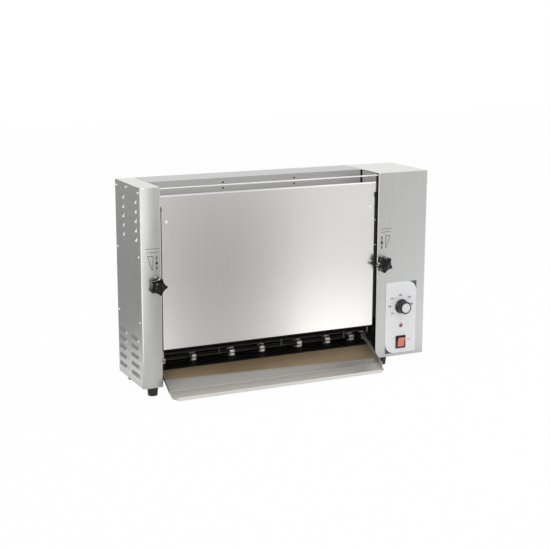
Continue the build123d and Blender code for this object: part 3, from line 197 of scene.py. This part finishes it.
board("spark_card",
      ((-0.94, -2.81, 1.29), (-0.44, -2.81, 1.29), (-0.44, -2.61, 1.69), (-0.94, -2.61, 1.69)),
      (0, 0, 1), ((1.29, 45), (1.69, 45)))
board("slot_card",
      ((-0.3, -0.030, 0.33), (0.22, -0.030, 0.33), (0.22, -0.030, 0.438), (-0.3, -0.030, 0.438)),
      (0, 0, 1), ((0.33, 0.75), (0.438, 1.0)))


# The housings, the base pan and the rear cover: ferritic stainless sheet of 1.2 mm, brushed upright
# and bent. The eye gets the satin finish from its fine vertical lines.
def coat(material, colour, tone, grain, smoothest, roughest, bump, metallic):
    # The shared end of a finish: a base colour shaded by a tone, and roughness and fine relief that
    # follow the grain.
    tree = material.node_tree
    shader = tree.nodes["Principled BSDF"]
    base = linear(colour)[:3]
    tint = add_node(tree, "ShaderNodeVectorMath", {0: base, "Scale": tone}, operation="SCALE")
    rough = add_node(tree, "ShaderNodeMapRange", {"Value": grain, "From Min": 0.3, "From Max": 0.7,
                                                 "To Min": smoothest, "To Max": roughest})
    relief = add_node(tree, "ShaderNodeBump", {"Height": grain, "Strength": bump, "Distance": 0.0002})
    tree.links.new(tint.outputs[0], shader.inputs["Base Color"])
    tree.links.new(rough.outputs[0], shader.inputs["Roughness"])
    tree.links.new(relief.outputs[0], shader.inputs["Normal"])
    shader.inputs["Metallic"].default_value = metallic
    return material


def brushed_sheet(name, colour, smoothest, roughest, line_mm, run_mm, contrast, flat=False, bump=0.08):
    # Brush lines of line_mm by run_mm that run upright, or along X on a flat sheet, under broad soft
    # bands twelve times as large. Real lines are too fine to show, so they are drawn this coarse.
    material = bpy.data.materials.new(name)
    material.use_nodes = True
    tree = material.node_tree
    place = add_node(tree, "ShaderNodeTexCoord").outputs["Object"]
    fine, coarse = 1000 / line_mm, 1000 / run_mm
    stretch = (coarse, fine, fine) if flat else (fine, fine, coarse)
    lines = add_node(tree, "ShaderNodeMapping", {"Vector": place, "Scale": stretch})
    grain = add_node(tree, "ShaderNodeTexNoise", {"Vector": lines.outputs[0], "Scale": 1.0, "Detail": 3.0,
                                                 "Roughness": 0.6}).outputs["Fac"]
    bands = add_node(tree, "ShaderNodeMapping", {"Vector": place, "Scale": tuple(s / 12 for s in stretch)})
    broad = add_node(tree, "ShaderNodeTexNoise", {"Vector": bands.outputs[0], "Scale": 1.0, "Detail": 2.0})
    both = add_node(tree, "ShaderNodeMix", {"Factor": 0.45, 2: grain, 3: broad.outputs["Fac"]},
                    data_type="FLOAT")
    tone = add_node(tree, "ShaderNodeMapRange", {"Value": both.outputs[0], "From Min": 0.25, "From Max": 0.75,
                                                "To Min": 1 - contrast, "To Max": 1 + contrast}).outputs[0]
    return coat(material, colour, tone, grain, smoothest, roughest, bump, metallic=1.0)


def finish_nodes(material, *names):
    for name in names:
        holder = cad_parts[name]
        for place in holder.material_slots:
            place.material = material
        if not holder.material_slots:
            holder.data.materials.append(material)


def parts_of(material):
    # The node tree, the shader and the place on the piece as X, Y and Z.
    tree = material.node_tree
    coords = add_node(tree, "ShaderNodeTexCoord")
    place = add_node(tree, "ShaderNodeSeparateXYZ", {"Vector": coords.outputs["Object"]})
    return tree, tree.nodes["Principled BSDF"], place.outputs


def where(tree, place, *limits):
    # 1 on what lies inside all the limits, each an axis, a comparison and a value, and 0 elsewhere.
    share = None
    for axis, comparison, value in limits:
        inside = add_node(tree, "ShaderNodeMath", {0: place[axis], 1: value}, operation=comparison).outputs[0]
        share = inside if share is None else add_node(tree, "ShaderNodeMath", {0: share, 1: inside},
                                                      operation="MULTIPLY").outputs[0]
    return share


def lay_over(tree, shader, share, colour):
    # A second colour over the finish's own, where the share is 1. It is a hex value or a socket.
    own = shader.inputs["Base Color"].links[0].from_socket
    over = linear(colour) if isinstance(colour, str) else colour
    both = add_node(tree, "ShaderNodeMix", {"Factor": share, 6: own, 7: over}, data_type="RGBA")
    tree.links.new(both.outputs[2], shader.inputs["Base Color"])


satin_sheet = brushed_sheet("satin_stainless_sheet", "#b4b4b2", 0.30, 0.39, 1.6, 60, 0.05)
finish_nodes(satin_sheet, "base_pan", "rear_cover")

# The folds that face the panel lie in the shade of the gap, and painted shade makes them near black.
fold_front, fold_skin = -0.0548, 0.0005
right_sheet = brushed_sheet("satin_shaded_sheet", "#b4b4b2", 0.30, 0.39, 1.6, 60, 0.05)
tree, shader, place = parts_of(right_sheet)
shaded_fold = where(tree, place, ("X", "LESS_THAN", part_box("right_casing")[0][0] + fold_skin),
             ("Y", "GREATER_THAN", fold_front))
lay_over(tree, shader, shaded_fold, "#101010")
finish_nodes(right_sheet, "right_casing")

# The left housing's front is slightly crowned towards its outer edge, which the eye gets as a soft
# bright run of light. Painted light makes it brighter towards the top, painted shade makes its roof
# darker, and its fold in the gap gets painted shade too.
left_sheet = brushed_sheet("satin_crowned_sheet", "#b4b4b2", 0.26, 0.35, 1.6, 60, 0.05)
tree, shader, place = parts_of(left_sheet)
crown_start, crown_fall, front_skin = -0.321, -3.6, -0.0545
outward = add_node(tree, "ShaderNodeMath", {0: crown_start, 1: place["X"]}, operation="SUBTRACT",
                   use_clamp=True)
square = add_node(tree, "ShaderNodeMath", {0: outward.outputs[0], 1: 2.0}, operation="POWER")
front = where(tree, place, ("Y", "LESS_THAN", front_skin))
crown = add_node(tree, "ShaderNodeMath", {0: square.outputs[0], 1: front}, operation="MULTIPLY")
height = add_node(tree, "ShaderNodeMath", {0: crown.outputs[0], 1: crown_fall}, operation="MULTIPLY")
bow = add_node(tree, "ShaderNodeBump", {"Height": height.outputs[0], "Strength": 1.0, "Distance": 1.0})
tree.links.new(bow.outputs[0], shader.inputs["Normal"].links[0].from_node.inputs["Normal"])
painted_shade_low, painted_light_high, painted_roof_shade = 0.90, 1.08, 0.74
upward = add_node(tree, "ShaderNodeMapRange", {"Value": place["Z"], "From Min": 0.27, "From Max": 0.40,
                                              "To Min": painted_shade_low, "To Max": painted_light_high})
roof = add_node(tree, "ShaderNodeMapRange", {"Value": place["Z"], "From Min": 0.4588, "From Max": 0.4596,
                                            "To Min": 1.0, "To Max": painted_roof_shade})
tone = add_node(tree, "ShaderNodeMath", {0: upward.outputs[0], 1: roof.outputs[0]}, operation="MULTIPLY")
own = shader.inputs["Base Color"].links[0].from_socket
tint = add_node(tree, "ShaderNodeVectorMath", {0: own, "Scale": tone.outputs[0]}, operation="SCALE")
tree.links.new(tint.outputs[0], shader.inputs["Base Color"])
# Painted shade on the fold that faces the panel.
shaded_fold = where(tree, place, ("X", "GREATER_THAN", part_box("left_casing")[1][0] - fold_skin),
             ("Y", "GREATER_THAN", fold_front))
lay_over(tree, shader, shaded_fold, "#101010")
finish_nodes(left_sheet, "left_casing")


# The flat sheets inside and on top: bright annealed stainless for the shield, carriers, cheeks and
# tray supports, and a duller brushed cover over the slot.
bright_sheet = brushed_sheet("bright_annealed_sheet", "#d4d4d1", 0.20, 0.29, 2.0, 90, 0.03, flat=True,
                             bump=0.03)
finish_nodes(bright_sheet, "heat_shield", "platen_carriers", "slot_cheeks", "tray_supports")
cover_sheet = brushed_sheet("satin_cover_sheet", "#a6a6a6", 0.38, 0.47, 2.0, 90, 0.03, flat=True,
                            bump=0.03)
finish_nodes(cover_sheet, "top_cover")


# The lift-off front panel: one polished stainless sheet, brushed upright, hung on two ledges with
# a folded edge all round. It shows broad soft bands of light that run from top to bottom, a painted
# highlight along its rolled top edge and painted shade on its fold in the left gap.
panel_sheet = brushed_sheet("vertical_brushed_panel", "#dad9d6", 0.2, 0.225, 3.0, 400, 0.015, bump=0.01)
tree, shader, place = parts_of(panel_sheet)
panel_low, panel_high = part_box("front_panel")
highlight_height, panel_skin, fold_width = 0.0032, 0.0006, 0.0043
# A painted highlight along the rolled top edge, and painted shade on the fold in the left gap.
lay_over(tree, shader, where(tree, place, ("Z", "GREATER_THAN", panel_high[2] - highlight_height)), "#ffffff")
shaded_fold = where(tree, place, ("Y", "GREATER_THAN", panel_low[1] + panel_skin),
             ("X", "LESS_THAN", panel_low[0] + fold_width))
lay_over(tree, shader, shaded_fold, "#141414")
finish_nodes(panel_sheet, "front_panel")


# The dark parts of the chamber: its two walls, the cross rail, the chute and the sheet behind the
# belt are mild steel in black stove enamel, with a slight orange peel and a dull sheen. The belt's
# wires are steel that the heat has blackened.
def enamel(name, colour, roughness, grit_mm, bump=0.15, metallic=0.0, mottle=0.15):
    material = bpy.data.materials.new(name)
    material.use_nodes = True
    tree = material.node_tree
    place = add_node(tree, "ShaderNodeTexCoord").outputs["Object"]
    peel = add_node(tree, "ShaderNodeTexNoise", {"Vector": place, "Scale": 1000 / grit_mm,
                                                "Detail": 2.0}).outputs["Fac"]
    tone = add_node(tree, "ShaderNodeMapRange", {"Value": peel, "From Min": 0.3, "From Max": 0.7,
                                                "To Min": 1 - mottle, "To Max": 1 + mottle}).outputs[0]
    return coat(material, colour, tone, peel, roughness - 0.05, roughness + 0.05, bump, metallic)


stove_enamel = enamel("black_stove_enamel", "#0a0a0a", 0.55, 1.2)
stove_enamel.node_tree.nodes["Principled BSDF"].inputs["Specular IOR Level"].default_value = 0.2
finish_nodes(stove_enamel, "left_inner_wall", "right_inner_wall", "cross_rail", "chute",
             "belt_backing_plate", "panel_ledges", "lane_screws")
black_wire = enamel("blackened_wire", "#181716", 0.40, 2.0, metallic=0.6)
finish_nodes(black_wire, "wire_belt")


# The mouldings, feet and castings: glossy black phenolic, matt black rubber, and the grey cast
# metal of the heated plate, the bearings and the gear motor. The elements on the plate have
# oxidised sheaths.
moulded = enamel("black_phenolic_moulding", "#101010", 0.22, 1.0, bump=0.04)
finish_nodes(moulded, "left_star_knob", "right_star_knob", "dial_knob", "heat_regulator", "rocker_housing",
             "spindle_bushes", "inlet_bush")
foot_rubber = enamel("black_rubber", "#151515", 0.7, 0.8)
finish_nodes(foot_rubber, "rubber_feet")
cast_plate = enamel("cast_aluminium_plate", "#6f6f6e", 0.55, 1.5, metallic=0.8)
finish_nodes(cast_plate, "platen", "shaft_bearings", "gear_motor")
sheath = enamel("oxidised_element_sheath", "#4b4a47", 0.5, 1.5, metallic=0.7)
finish_nodes(sheath, "heating_elements")


# Screws, rivets, rods and small fittings: zinc plated or polished steel, bright and smooth, with
# only a faint mottle from the plating. The panel rivets and the wall screws get a near-white finish, a
# painted highlight that stands in for the glints on their heads.
plated = enamel("bright_zinc_plate", "#d8d8d6", 0.2, 3.0, bump=0.03, metallic=1.0)
finish_nodes(plated, "casing_screws", "cover_screws", "guide_rod",
             "motor_bracket", "spindle_supports", "lamp_bezel", "element_clamps")
glint_painted_heads = enamel("painted_highlight_white", "#ffffff", 0.4, 2.0, bump=0.02, metallic=0.2)
finish_nodes(glint_painted_heads, "panel_rivets", "wall_screws")


# The turning and sliding parts: grey nylon pointers, turned steel spindles and chain, blued rods,
# and pale nylon hubs made of two halves, with a dark parting line between them.
slide_grey = enamel("grey_nylon_slide", "#a9a9a7", 0.5, 2.0, bump=0.03)
finish_nodes(slide_grey, "left_pointer", "right_pointer", "pointer_guides")
turned = enamel("turned_steel", "#9b9b99", 0.3, 3.0, bump=0.03, metallic=1.0)
finish_nodes(turned, "left_spindle", "right_spindle", "driven_sprocket", "motor_sprocket", "drive_chain")
scaled = enamel("blued_steel_rod", "#3a3937", 0.4, 3.0, bump=0.05, metallic=1.0)
finish_nodes(scaled, "drive_shaft", "idler_shaft", "sheet_rod")
nylon = enamel("heat_resistant_nylon", "#c9c8c2", 0.38, 1.6, bump=0.04)
tree, shader, place = parts_of(nylon)
hub_low, hub_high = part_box("drive_sprockets")
parting_height, parting_half = (hub_low[2] + hub_high[2]) / 2, 0.0010
parting = add_node(tree, "ShaderNodeMath", {0: place["Z"], 1: parting_height, 2: parting_half},
                   operation="COMPARE")
lay_over(tree, shader, parting.outputs[0], "#151515")
finish_nodes(nylon, "drive_sprockets", "idler_sprockets")


# The controls: a white enamelled plate, a spun metal cap on the dial, a dark red lamp and a rocker
# that glows from pink at its foot to orange at its top, with a dark cheek at its left. The terminal
# block behind them is glazed porcelain.
spun_cap = enamel("spun_aluminium", "#c9c9c8", 0.25, 2.0, bump=0.05, metallic=1.0)
finish_nodes(spun_cap, "dial_cap")
plate_enamel = enamel("white_printed_plate", "#efeff1", 0.35, 3.0, bump=0.0, mottle=0.02)
finish_nodes(plate_enamel, "control_plate")
red_lens = enamel("red_lamp_lens", "#8a0f1e", 0.12, 3.0, bump=0.0)
finish_nodes(red_lens, "lamp_lens")
red_switch = enamel("red_rocker_plastic", "#d8625c", 0.25, 2.0, bump=0.02)
tree, shader, place = parts_of(red_switch)
rocker_low, rocker_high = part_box("rocker")
rise = add_node(tree, "ShaderNodeMapRange", {"Value": place["Z"], "From Min": rocker_low[2],
                                            "From Max": rocker_high[2]})
blend = add_node(tree, "ShaderNodeMix", {"Factor": rise.outputs[0], 6: linear("#d4606a"),
                                        7: linear("#e08468")}, data_type="RGBA")
cheek_width, foot_height, rocker_glow = 0.0032, 0.0012, 0.12
lit = where(tree, place, ("X", "GREATER_THAN", rocker_low[0] + cheek_width),
            ("Z", "GREATER_THAN", rocker_low[2] + foot_height))
face_colour = add_node(tree, "ShaderNodeMix", {"Factor": lit, 6: linear("#161312"), 7: blend.outputs[2]},
                       data_type="RGBA")
tree.links.new(face_colour.outputs[2], shader.inputs["Base Color"])
glow = add_node(tree, "ShaderNodeMath", {0: lit, 1: rocker_glow}, operation="MULTIPLY")
shader.inputs["Emission Color"].default_value = linear("#ff8078")
tree.links.new(glow.outputs[0], shader.inputs["Emission Strength"])
finish_nodes(red_switch, "rocker")
porcelain = enamel("glazed_porcelain", "#ded9cc", 0.2, 3.0, bump=0.02)
finish_nodes(porcelain, "terminal_block")


# The outfeed tray: smooth stainless sheet, folded with a hem at the front lip, which has a painted
# highlight. The part behind the fold is painted darker as shade. An uneven olive zone on its rear, in
# front of the dark opening, stands partly for baked-on fat and partly for a painted reflection.
tray_sheet = brushed_sheet("bright_tray_sheet", "#b8b5ae", 0.295, 0.305, 6.0, 300, 0.008, flat=True,
                           bump=0.0)
tree, shader, place = parts_of(tray_sheet)
tray_middle, tray_half, brown_skew, hem_width = -0.0423, 0.2612, 0.031, 0.0035
# Painted shade: the part behind the fold is darker.
shaded_behind_fold = add_node(tree, "ShaderNodeMapRange", {"Value": place["Y"], "From Min": -0.082, "From Max": -0.078})
lay_over(tree, shader, shaded_behind_fold.outputs[0], "#83817c")
# A painted highlight along the hem at the front lip.
hem_highlight = where(tree, place, ("Y", "LESS_THAN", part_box("outfeed_tray")[0][1] + hem_width))
lay_over(tree, shader, hem_highlight, "#dcdad6")
rearward = add_node(tree, "ShaderNodeMath", {0: place["X"], 1: brown_skew, 2: place["Y"]},
                    operation="MULTIPLY_ADD")
behind = add_node(tree, "ShaderNodeMapRange", {"Value": rearward.outputs[0], "From Min": -0.0605,
                                              "From Max": -0.0575})
between_sides = add_node(tree, "ShaderNodeMath", {0: place["X"], 1: tray_middle, 2: tray_half},
                         operation="COMPARE")
fat_and_reflection_zone = add_node(tree, "ShaderNodeMath", {0: behind.outputs[0], 1: between_sides.outputs[0]},
                 operation="MULTIPLY")
coords = add_node(tree, "ShaderNodeTexCoord")
# The blotches of fat and painted reflection are about 11 cm across.
blotches = add_node(tree, "ShaderNodeTexNoise", {"Vector": coords.outputs["Object"], "Scale": 9.0,
                                             "Detail": 3.0})
fat_and_reflection_colour = add_node(tree, "ShaderNodeMix", {"Factor": blotches.outputs["Fac"], 6: linear("#54462f"),
                                      7: linear("#81725c")}, data_type="RGBA")
lay_over(tree, shader, fat_and_reflection_zone.outputs[0], fat_and_reflection_colour.outputs[2])
dulled = add_node(tree, "ShaderNodeMapRange", {"Value": fat_and_reflection_zone.outputs[0], "To Min": 0.5, "To Max": 0.4})
tree.links.new(dulled.outputs[0], shader.inputs["Metallic"])
finish_nodes(tray_sheet, "outfeed_tray")


# What is printed on the housings beside the knobs: an outlined wedge for the gap's width, with
# two plain bars above it, in dark screen ink. The eye gets the wedge's shape from its thin outline.
screen_ink = enamel("dark_screen_ink", "#2e2e31", 0.5, 0.8, bump=0.02)


def into_piece(name, build, material, body):
    # The piece made of a bmesh build, with its finish and its body.
    bmesh.ops.recalc_face_normals(build, faces=build.faces[:])
    mesh = bpy.data.meshes.new(name)
    build.to_mesh(mesh)
    build.free()
    mesh.materials.append(material)
    piece = bpy.data.objects.new(name, mesh)
    scene.collection.objects.link(piece)
    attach(piece, body)
    return piece


def verts_in(geometry):
    return [item for item in geometry if isinstance(item, bmesh.types.BMVert)]


def raise_print(build, lift):
    # Printed faces get the thickness of the ink.
    lifted = bmesh.ops.extrude_face_region(build, geom=build.faces[:], use_keep_orig=True)["geom"]
    bmesh.ops.translate(build, vec=(0, -lift, 0), verts=verts_in(lifted))


housing_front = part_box("left_casing")[0][1]
outline_width, outline_corner, bar_half, housing_ink = 0.0012, 0.0009, 0.0005, 0.00006
for side, wedge, bars in (
        ("left", ((-0.3405, 0.3137), (-0.3270, 0.3132), (-0.3275, 0.2822), (-0.3308, 0.2825)),
         ((-0.3444, -0.3140, 0.3287), (-0.3428, -0.3150, 0.3210))),
        ("right", ((0.2444, 0.3140), (0.2571, 0.3130), (0.2467, 0.2845), (0.2446, 0.2848)),
         ((0.2322, 0.2609, 0.3295), (0.2324, 0.2568, 0.3222)))):
    build = bmesh.new()
    outline = build.faces.new([build.verts.new((x, housing_front, z)) for x, z in wedge])
    bmesh.ops.bevel(build, geom=outline.verts[:], offset=outline_corner, affect="VERTICES", segments=4,
                    profile=0.5, material=-1)
    inner = build.faces[:]
    bmesh.ops.inset_region(build, faces=inner, thickness=outline_width, use_even_offset=True,
                           use_boundary=True)
    bmesh.ops.delete(build, geom=inner, context="FACES_ONLY")
    for left, right, z in bars:
        build.faces.new([build.verts.new((x, housing_front, z + rise)) for x, rise in (
            (left, -bar_half), (right, -bar_half), (right, bar_half), (left, bar_half))])
    raise_print(build, housing_ink)
    into_piece(side + "_thickness_print", build, screen_ink, "body")


# The thickness pointers: a small round black button on each sliding peg, with a soft rim. It is what
# the eye sees of the pointer in its slot.
button_radius, button_depth, button_edge = 0.0025, 0.0009, 0.0003
for side in ("left", "right"):
    low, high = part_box(side + "_pointer")
    build = bmesh.new()
    bmesh.ops.create_cone(build, cap_ends=True, segments=32, radius1=button_radius, radius2=button_radius,
                          depth=button_depth)
    bmesh.ops.bevel(build, geom=[e for e in build.edges if e.calc_face_angle(0) > 0.5],
                    offset=button_edge, affect="EDGES", segments=3, profile=0.5, material=-1)
    bmesh.ops.rotate(build, matrix=Matrix.Rotation(radians(90), 3, "X"), verts=build.verts)
    bmesh.ops.translate(build, verts=build.verts, vec=((low[0] + high[0]) / 2, low[1] - button_depth / 2,
                                                       (low[2] + high[2]) / 2))
    into_piece(side + "_pointer_button", build, moulded, side + "_pointer")


# The control plate's print: dark blue corners behind a white field with wide round corners, plain
# numbers round the dial, and a bar and a ring beside the switch.
navy_ink = enamel("navy_screen_ink", "#3c4a63", 0.4, 0.8, bump=0.02)
grey_ink = enamel("grey_screen_ink", "#45464b", 0.5, 0.8, bump=0.02)
plate_low, plate_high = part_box("control_plate")
plate_ink, plate_margin, field_corner = 0.00005, 0.0002, 0.0250
build = bmesh.new()
for corner_x, corner_z, inward_x, inward_z in ((plate_high[0], plate_high[2], -1, -1),
                                               (plate_low[0], plate_low[2], 1, 1)):
    tip = build.verts.new((corner_x + inward_x * plate_margin, plate_low[1],
                           corner_z + inward_z * plate_margin))
    arc = [build.verts.new((tip.co.x + inward_x * field_corner * (1 - sin(pi / 2 * step / 16)), plate_low[1],
                            tip.co.z + inward_z * field_corner * (1 - cos(pi / 2 * step / 16))))
           for step in range(17)]
    for first_end, second_end in zip(arc, arc[1:]):
        build.faces.new((tip, first_end, second_end))
bmesh.ops.recalc_face_normals(build, faces=build.faces[:])
raise_print(build, plate_ink)
into_piece("plate_corner_print", build, navy_ink, "body")

dial_low, dial_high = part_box("dial_cap")
dial_x, dial_z = (dial_low[0] + dial_high[0]) / 2, (dial_low[2] + dial_high[2]) / 2
number_size, number_ink, number_swell = 0.0060, 0.00003, 0.00015
build = bmesh.new()
for number, aside, rise in (("50", -0.0249, -0.0155), ("100", -0.0329, 0.0023), ("150", -0.0267, 0.0209),
                            ("200", -0.0039, 0.0276), ("250", 0.0213, 0.0206), ("300", 0.0272, 0.0033)):
    words = bpy.data.curves.new("number", "FONT")
    words.body, words.size, words.extrude, words.offset = number, number_size, number_ink, number_swell
    words.align_x, words.align_y = "CENTER", "CENTER"
    writing = bpy.data.objects.new("number", words)
    letters = bpy.data.meshes.new_from_object(writing)
    first = len(build.verts)
    build.from_mesh(letters)
    build.verts.ensure_lookup_table()
    place = Matrix.Translation((dial_x + aside, plate_low[1] - number_ink, dial_z + rise))
    place = place @ Matrix.Rotation(radians(90), 4, "X")
    bmesh.ops.transform(build, matrix=place, verts=build.verts[first:])
    bpy.data.objects.remove(writing)
into_piece("dial_numbers", build, grey_ink, "body")

build = bmesh.new()
switch_low, switch_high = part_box("rocker_housing")
switch_x, switch_z = (switch_low[0] + switch_high[0]) / 2, (switch_low[2] + switch_high[2]) / 2
ring_radius, ring_width, marks_aside = 0.0023, 0.0009, -0.0195
bmesh.ops.create_circle(build, segments=32, radius=ring_radius)
build.faces.new(build.verts[:])
inner = build.faces[:]
bmesh.ops.inset_region(build, faces=inner, thickness=ring_width, use_boundary=True)
bmesh.ops.delete(build, geom=inner, context="FACES_ONLY")
bmesh.ops.rotate(build, matrix=Matrix.Rotation(radians(90), 3, "X"), verts=build.verts)
bmesh.ops.translate(build, vec=(switch_x + marks_aside, plate_low[1], switch_z - 0.0125), verts=build.verts)
for aside, rise, half_wide, half_high in ((marks_aside, 0.0096, 0.0005, 0.0021),
                                          (0.0225, 0.0042, 0.0032, 0.0006)):
    build.faces.new([build.verts.new((switch_x + aside + x, plate_low[1], switch_z + rise + z)) for x, z in (
        (-half_wide, -half_high), (half_wide, -half_high), (half_wide, half_high), (-half_wide, half_high))])
raise_print(build, plate_ink)
into_piece("switch_marks", build, grey_ink, "body")


# The dial's index: a short white line let into the skirt, which turns with the dial.
index_paint = enamel("white_index_paint", "#f2f2f0", 0.4, 0.8, bump=0.02)
index_size, index_edge = (0.0030, 0.0022, 0.0016), 0.0004
index_reach, index_lift, index_angle = 0.0155, 0.0048, -150
build = bmesh.new()
bmesh.ops.create_cube(build, size=1)
bmesh.ops.scale(build, vec=index_size, verts=build.verts)
bmesh.ops.bevel(build, geom=build.edges[:], offset=index_edge, affect="EDGES", segments=3, profile=0.5,
                material=-1)
bmesh.ops.translate(build, vec=(index_reach, plate_low[1] - index_lift, 0), verts=build.verts)
bmesh.ops.rotate(build, matrix=Matrix.Rotation(radians(index_angle), 3, "Y"), verts=build.verts)
bmesh.ops.translate(build, vec=(dial_x, 0, dial_z), verts=build.verts)
into_piece("dial_index", build, index_paint, "dial")


# The star knobs: glossy phenolic heads with five scooped lobes and rounded rims on short hubs. The
# eye gets the small bright marks that the lamp leaves on each lobe.
knob_gloss = enamel("glossy_phenolic", "#060606", 0.12, 1.0, bump=0.02)
knob_gloss.node_tree.nodes["Principled BSDF"].inputs["Specular IOR Level"].default_value = 0.25
knob_height, knob_radius, head_depth, head_setback, rim_round = 0.248, 0.0195, 0.0162, 0.0028, 0.0018
scoop_middle, scoop_radius = 0.0330, 0.0190
crown_radius, crown_depth = 0.0230, 0.0036
hub_front, hub_back, hub_depth = 0.0070, 0.0080, 0.0034
for side, axis_x, phase in (("left", -0.3210, -4), ("right", 0.2364, -26)):
    low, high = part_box(side + "_star_knob")
    build = bmesh.new()
    rim = []
    for step in range(150):
        angle = 2 * pi * step / 150
        across = abs((angle - radians(phase)) % radians(72) - radians(36))
        reach = scoop_radius ** 2 - (scoop_middle * sin(across)) ** 2
        scoop = scoop_middle * cos(across) - reach ** 0.5 if reach > 0 else 0.03
        # The corner between a scoop and the rim is eased by up to 0.8 mm.
        edge = min(scoop, knob_radius) - 0.0008 * max(0, 1 - abs(scoop - knob_radius) / 0.0016) ** 2
        rim.append(build.verts.new((axis_x + edge * cos(angle), low[1], knob_height + edge * sin(angle))))
    face = build.faces.new(rim)
    body_of_head = bmesh.ops.extrude_face_region(build, geom=[face])["geom"]
    bmesh.ops.translate(build, vec=(0, head_depth, 0), verts=verts_in(body_of_head))
    bmesh.ops.recalc_face_normals(build, faces=build.faces[:])
    edges = [e for e in build.edges if abs(e.verts[0].co.y - e.verts[1].co.y) < 1e-6]
    bmesh.ops.bevel(build, geom=edges, offset=rim_round, affect="EDGES", segments=4, profile=0.5, material=-1)
    bmesh.ops.translate(build, vec=(0, head_setback, 0), verts=build.verts)
    dome = bmesh.ops.create_uvsphere(build, u_segments=48, v_segments=24, radius=crown_radius)["verts"]
    bmesh.ops.translate(build, vec=(axis_x, low[1] + crown_radius, knob_height), verts=dome)
    bmesh.ops.delete(build, geom=[v for v in dome if v.co.y > low[1] + crown_depth], context="VERTS")
    bmesh.ops.holes_fill(build, edges=[e for e in build.edges if e.is_boundary], sides=0)
    hub = bmesh.ops.create_cone(build, cap_ends=True, segments=48, radius1=hub_front, radius2=hub_back,
                                depth=hub_depth)["verts"]
    bmesh.ops.rotate(build, matrix=Matrix.Rotation(radians(90), 3, "X"), verts=hub)
    bmesh.ops.translate(build, vec=(axis_x, high[1] - 0.0018, knob_height), verts=hub)
    knob = into_piece(side + "_knob_moulding", build, knob_gloss, side + "_adjuster")
    knob.data.shade_smooth()
    knob.data.set_sharp_from_angle(angle=radians(50))
    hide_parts(side + "_star_knob")


# The release cloth: thin coated glass cloth, hung over the top edge of the heated plate and drawn
# forward over the rod at its foot. The eye gets it from its weave, and it turns near black towards
# its lower end.
coated_cloth = enamel("coated_glass_cloth", "#8f6a41", 0.4, 1.0)
tree, shader, place = parts_of(coated_cloth)
dark_below, plain_above = 0.110, 0.160
darkening = add_node(tree, "ShaderNodeMapRange", {"Value": place["Z"], "From Min": dark_below,
                                                "From Max": plain_above})
own = shader.inputs["Base Color"].links[0].from_socket
darkened_cloth = add_node(tree, "ShaderNodeMix", {"Factor": darkening.outputs[0], 6: linear("#0c0a08"), 7: own},
                 data_type="RGBA")
tree.links.new(darkened_cloth.outputs[2], shader.inputs["Base Color"])
# Threads 1 mm apart, which is coarser than the real ones so that they show: a wave's scale is
# 2 pi / 20 over their spacing in metres.
threads_scale = 314.0
coords = add_node(tree, "ShaderNodeTexCoord")
relief = shader.inputs["Normal"].links[0].from_node
for bands in "X", "Z":
    weave = add_node(tree, "ShaderNodeTexWave", {"Vector": coords.outputs["Object"], "Scale": threads_scale,
                                                "Distortion": 0.4}, bands_direction=bands)
    woven = add_node(tree, "ShaderNodeBump", {"Height": weave.outputs["Fac"], "Strength": 0.2,
                                             "Distance": 0.0001})
    tree.links.new(woven.outputs[0], relief.inputs["Normal"])
    relief = woven

cloth_low, cloth_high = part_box("release_sheet")
cloth_half, bend_reach, cloth_thickness = 0.0004, 0.0008, 0.00025
face = cloth_high[1] - cloth_half
bends = ((cloth_low[1] + 0.0003, cloth_low[2] + cloth_half), (face, cloth_low[2] + 0.0059),
         (face, cloth_high[2] - cloth_half), (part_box("platen")[0][1], cloth_high[2] - cloth_half))
line = [bends[0]]
for before, bend, after in zip(bends, bends[1:], bends[2:]):
    near, far = (tuple(c + (e - c) * bend_reach / dist(end, bend) for e, c in zip(end, bend))
                 for end in (before, after))
    if len(line) > 1:
        start = line[-1]
        line += [tuple(a + (b - a) * step / 40 for a, b in zip(start, near)) for step in range(1, 40)]
    line += [near, tuple(0.25 * a + 0.5 * b + 0.25 * c for a, b, c in zip(near, bend, far)), far]
line.append(bends[-1])
build = bmesh.new()
rows = [[build.verts.new((x, y - 0.0001 * (1 + sin(70 * x + 9 * z)) * (y == face), z)) for y, z in line]
        for x in (cloth_low[0] + (cloth_high[0] - cloth_low[0]) * column / 64 for column in range(65))]
for row, following in zip(rows, rows[1:]):
    for corners in zip(row, row[1:], following[1:], following):
        build.faces.new(corners)
cloth = into_piece("release_cloth", build, coated_cloth, "platen")
thickness = cloth.modifiers.new("thickness", "SOLIDIFY")
thickness.thickness, thickness.offset = cloth_thickness, 0.0
cloth.data.shade_smooth()
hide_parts("release_sheet")
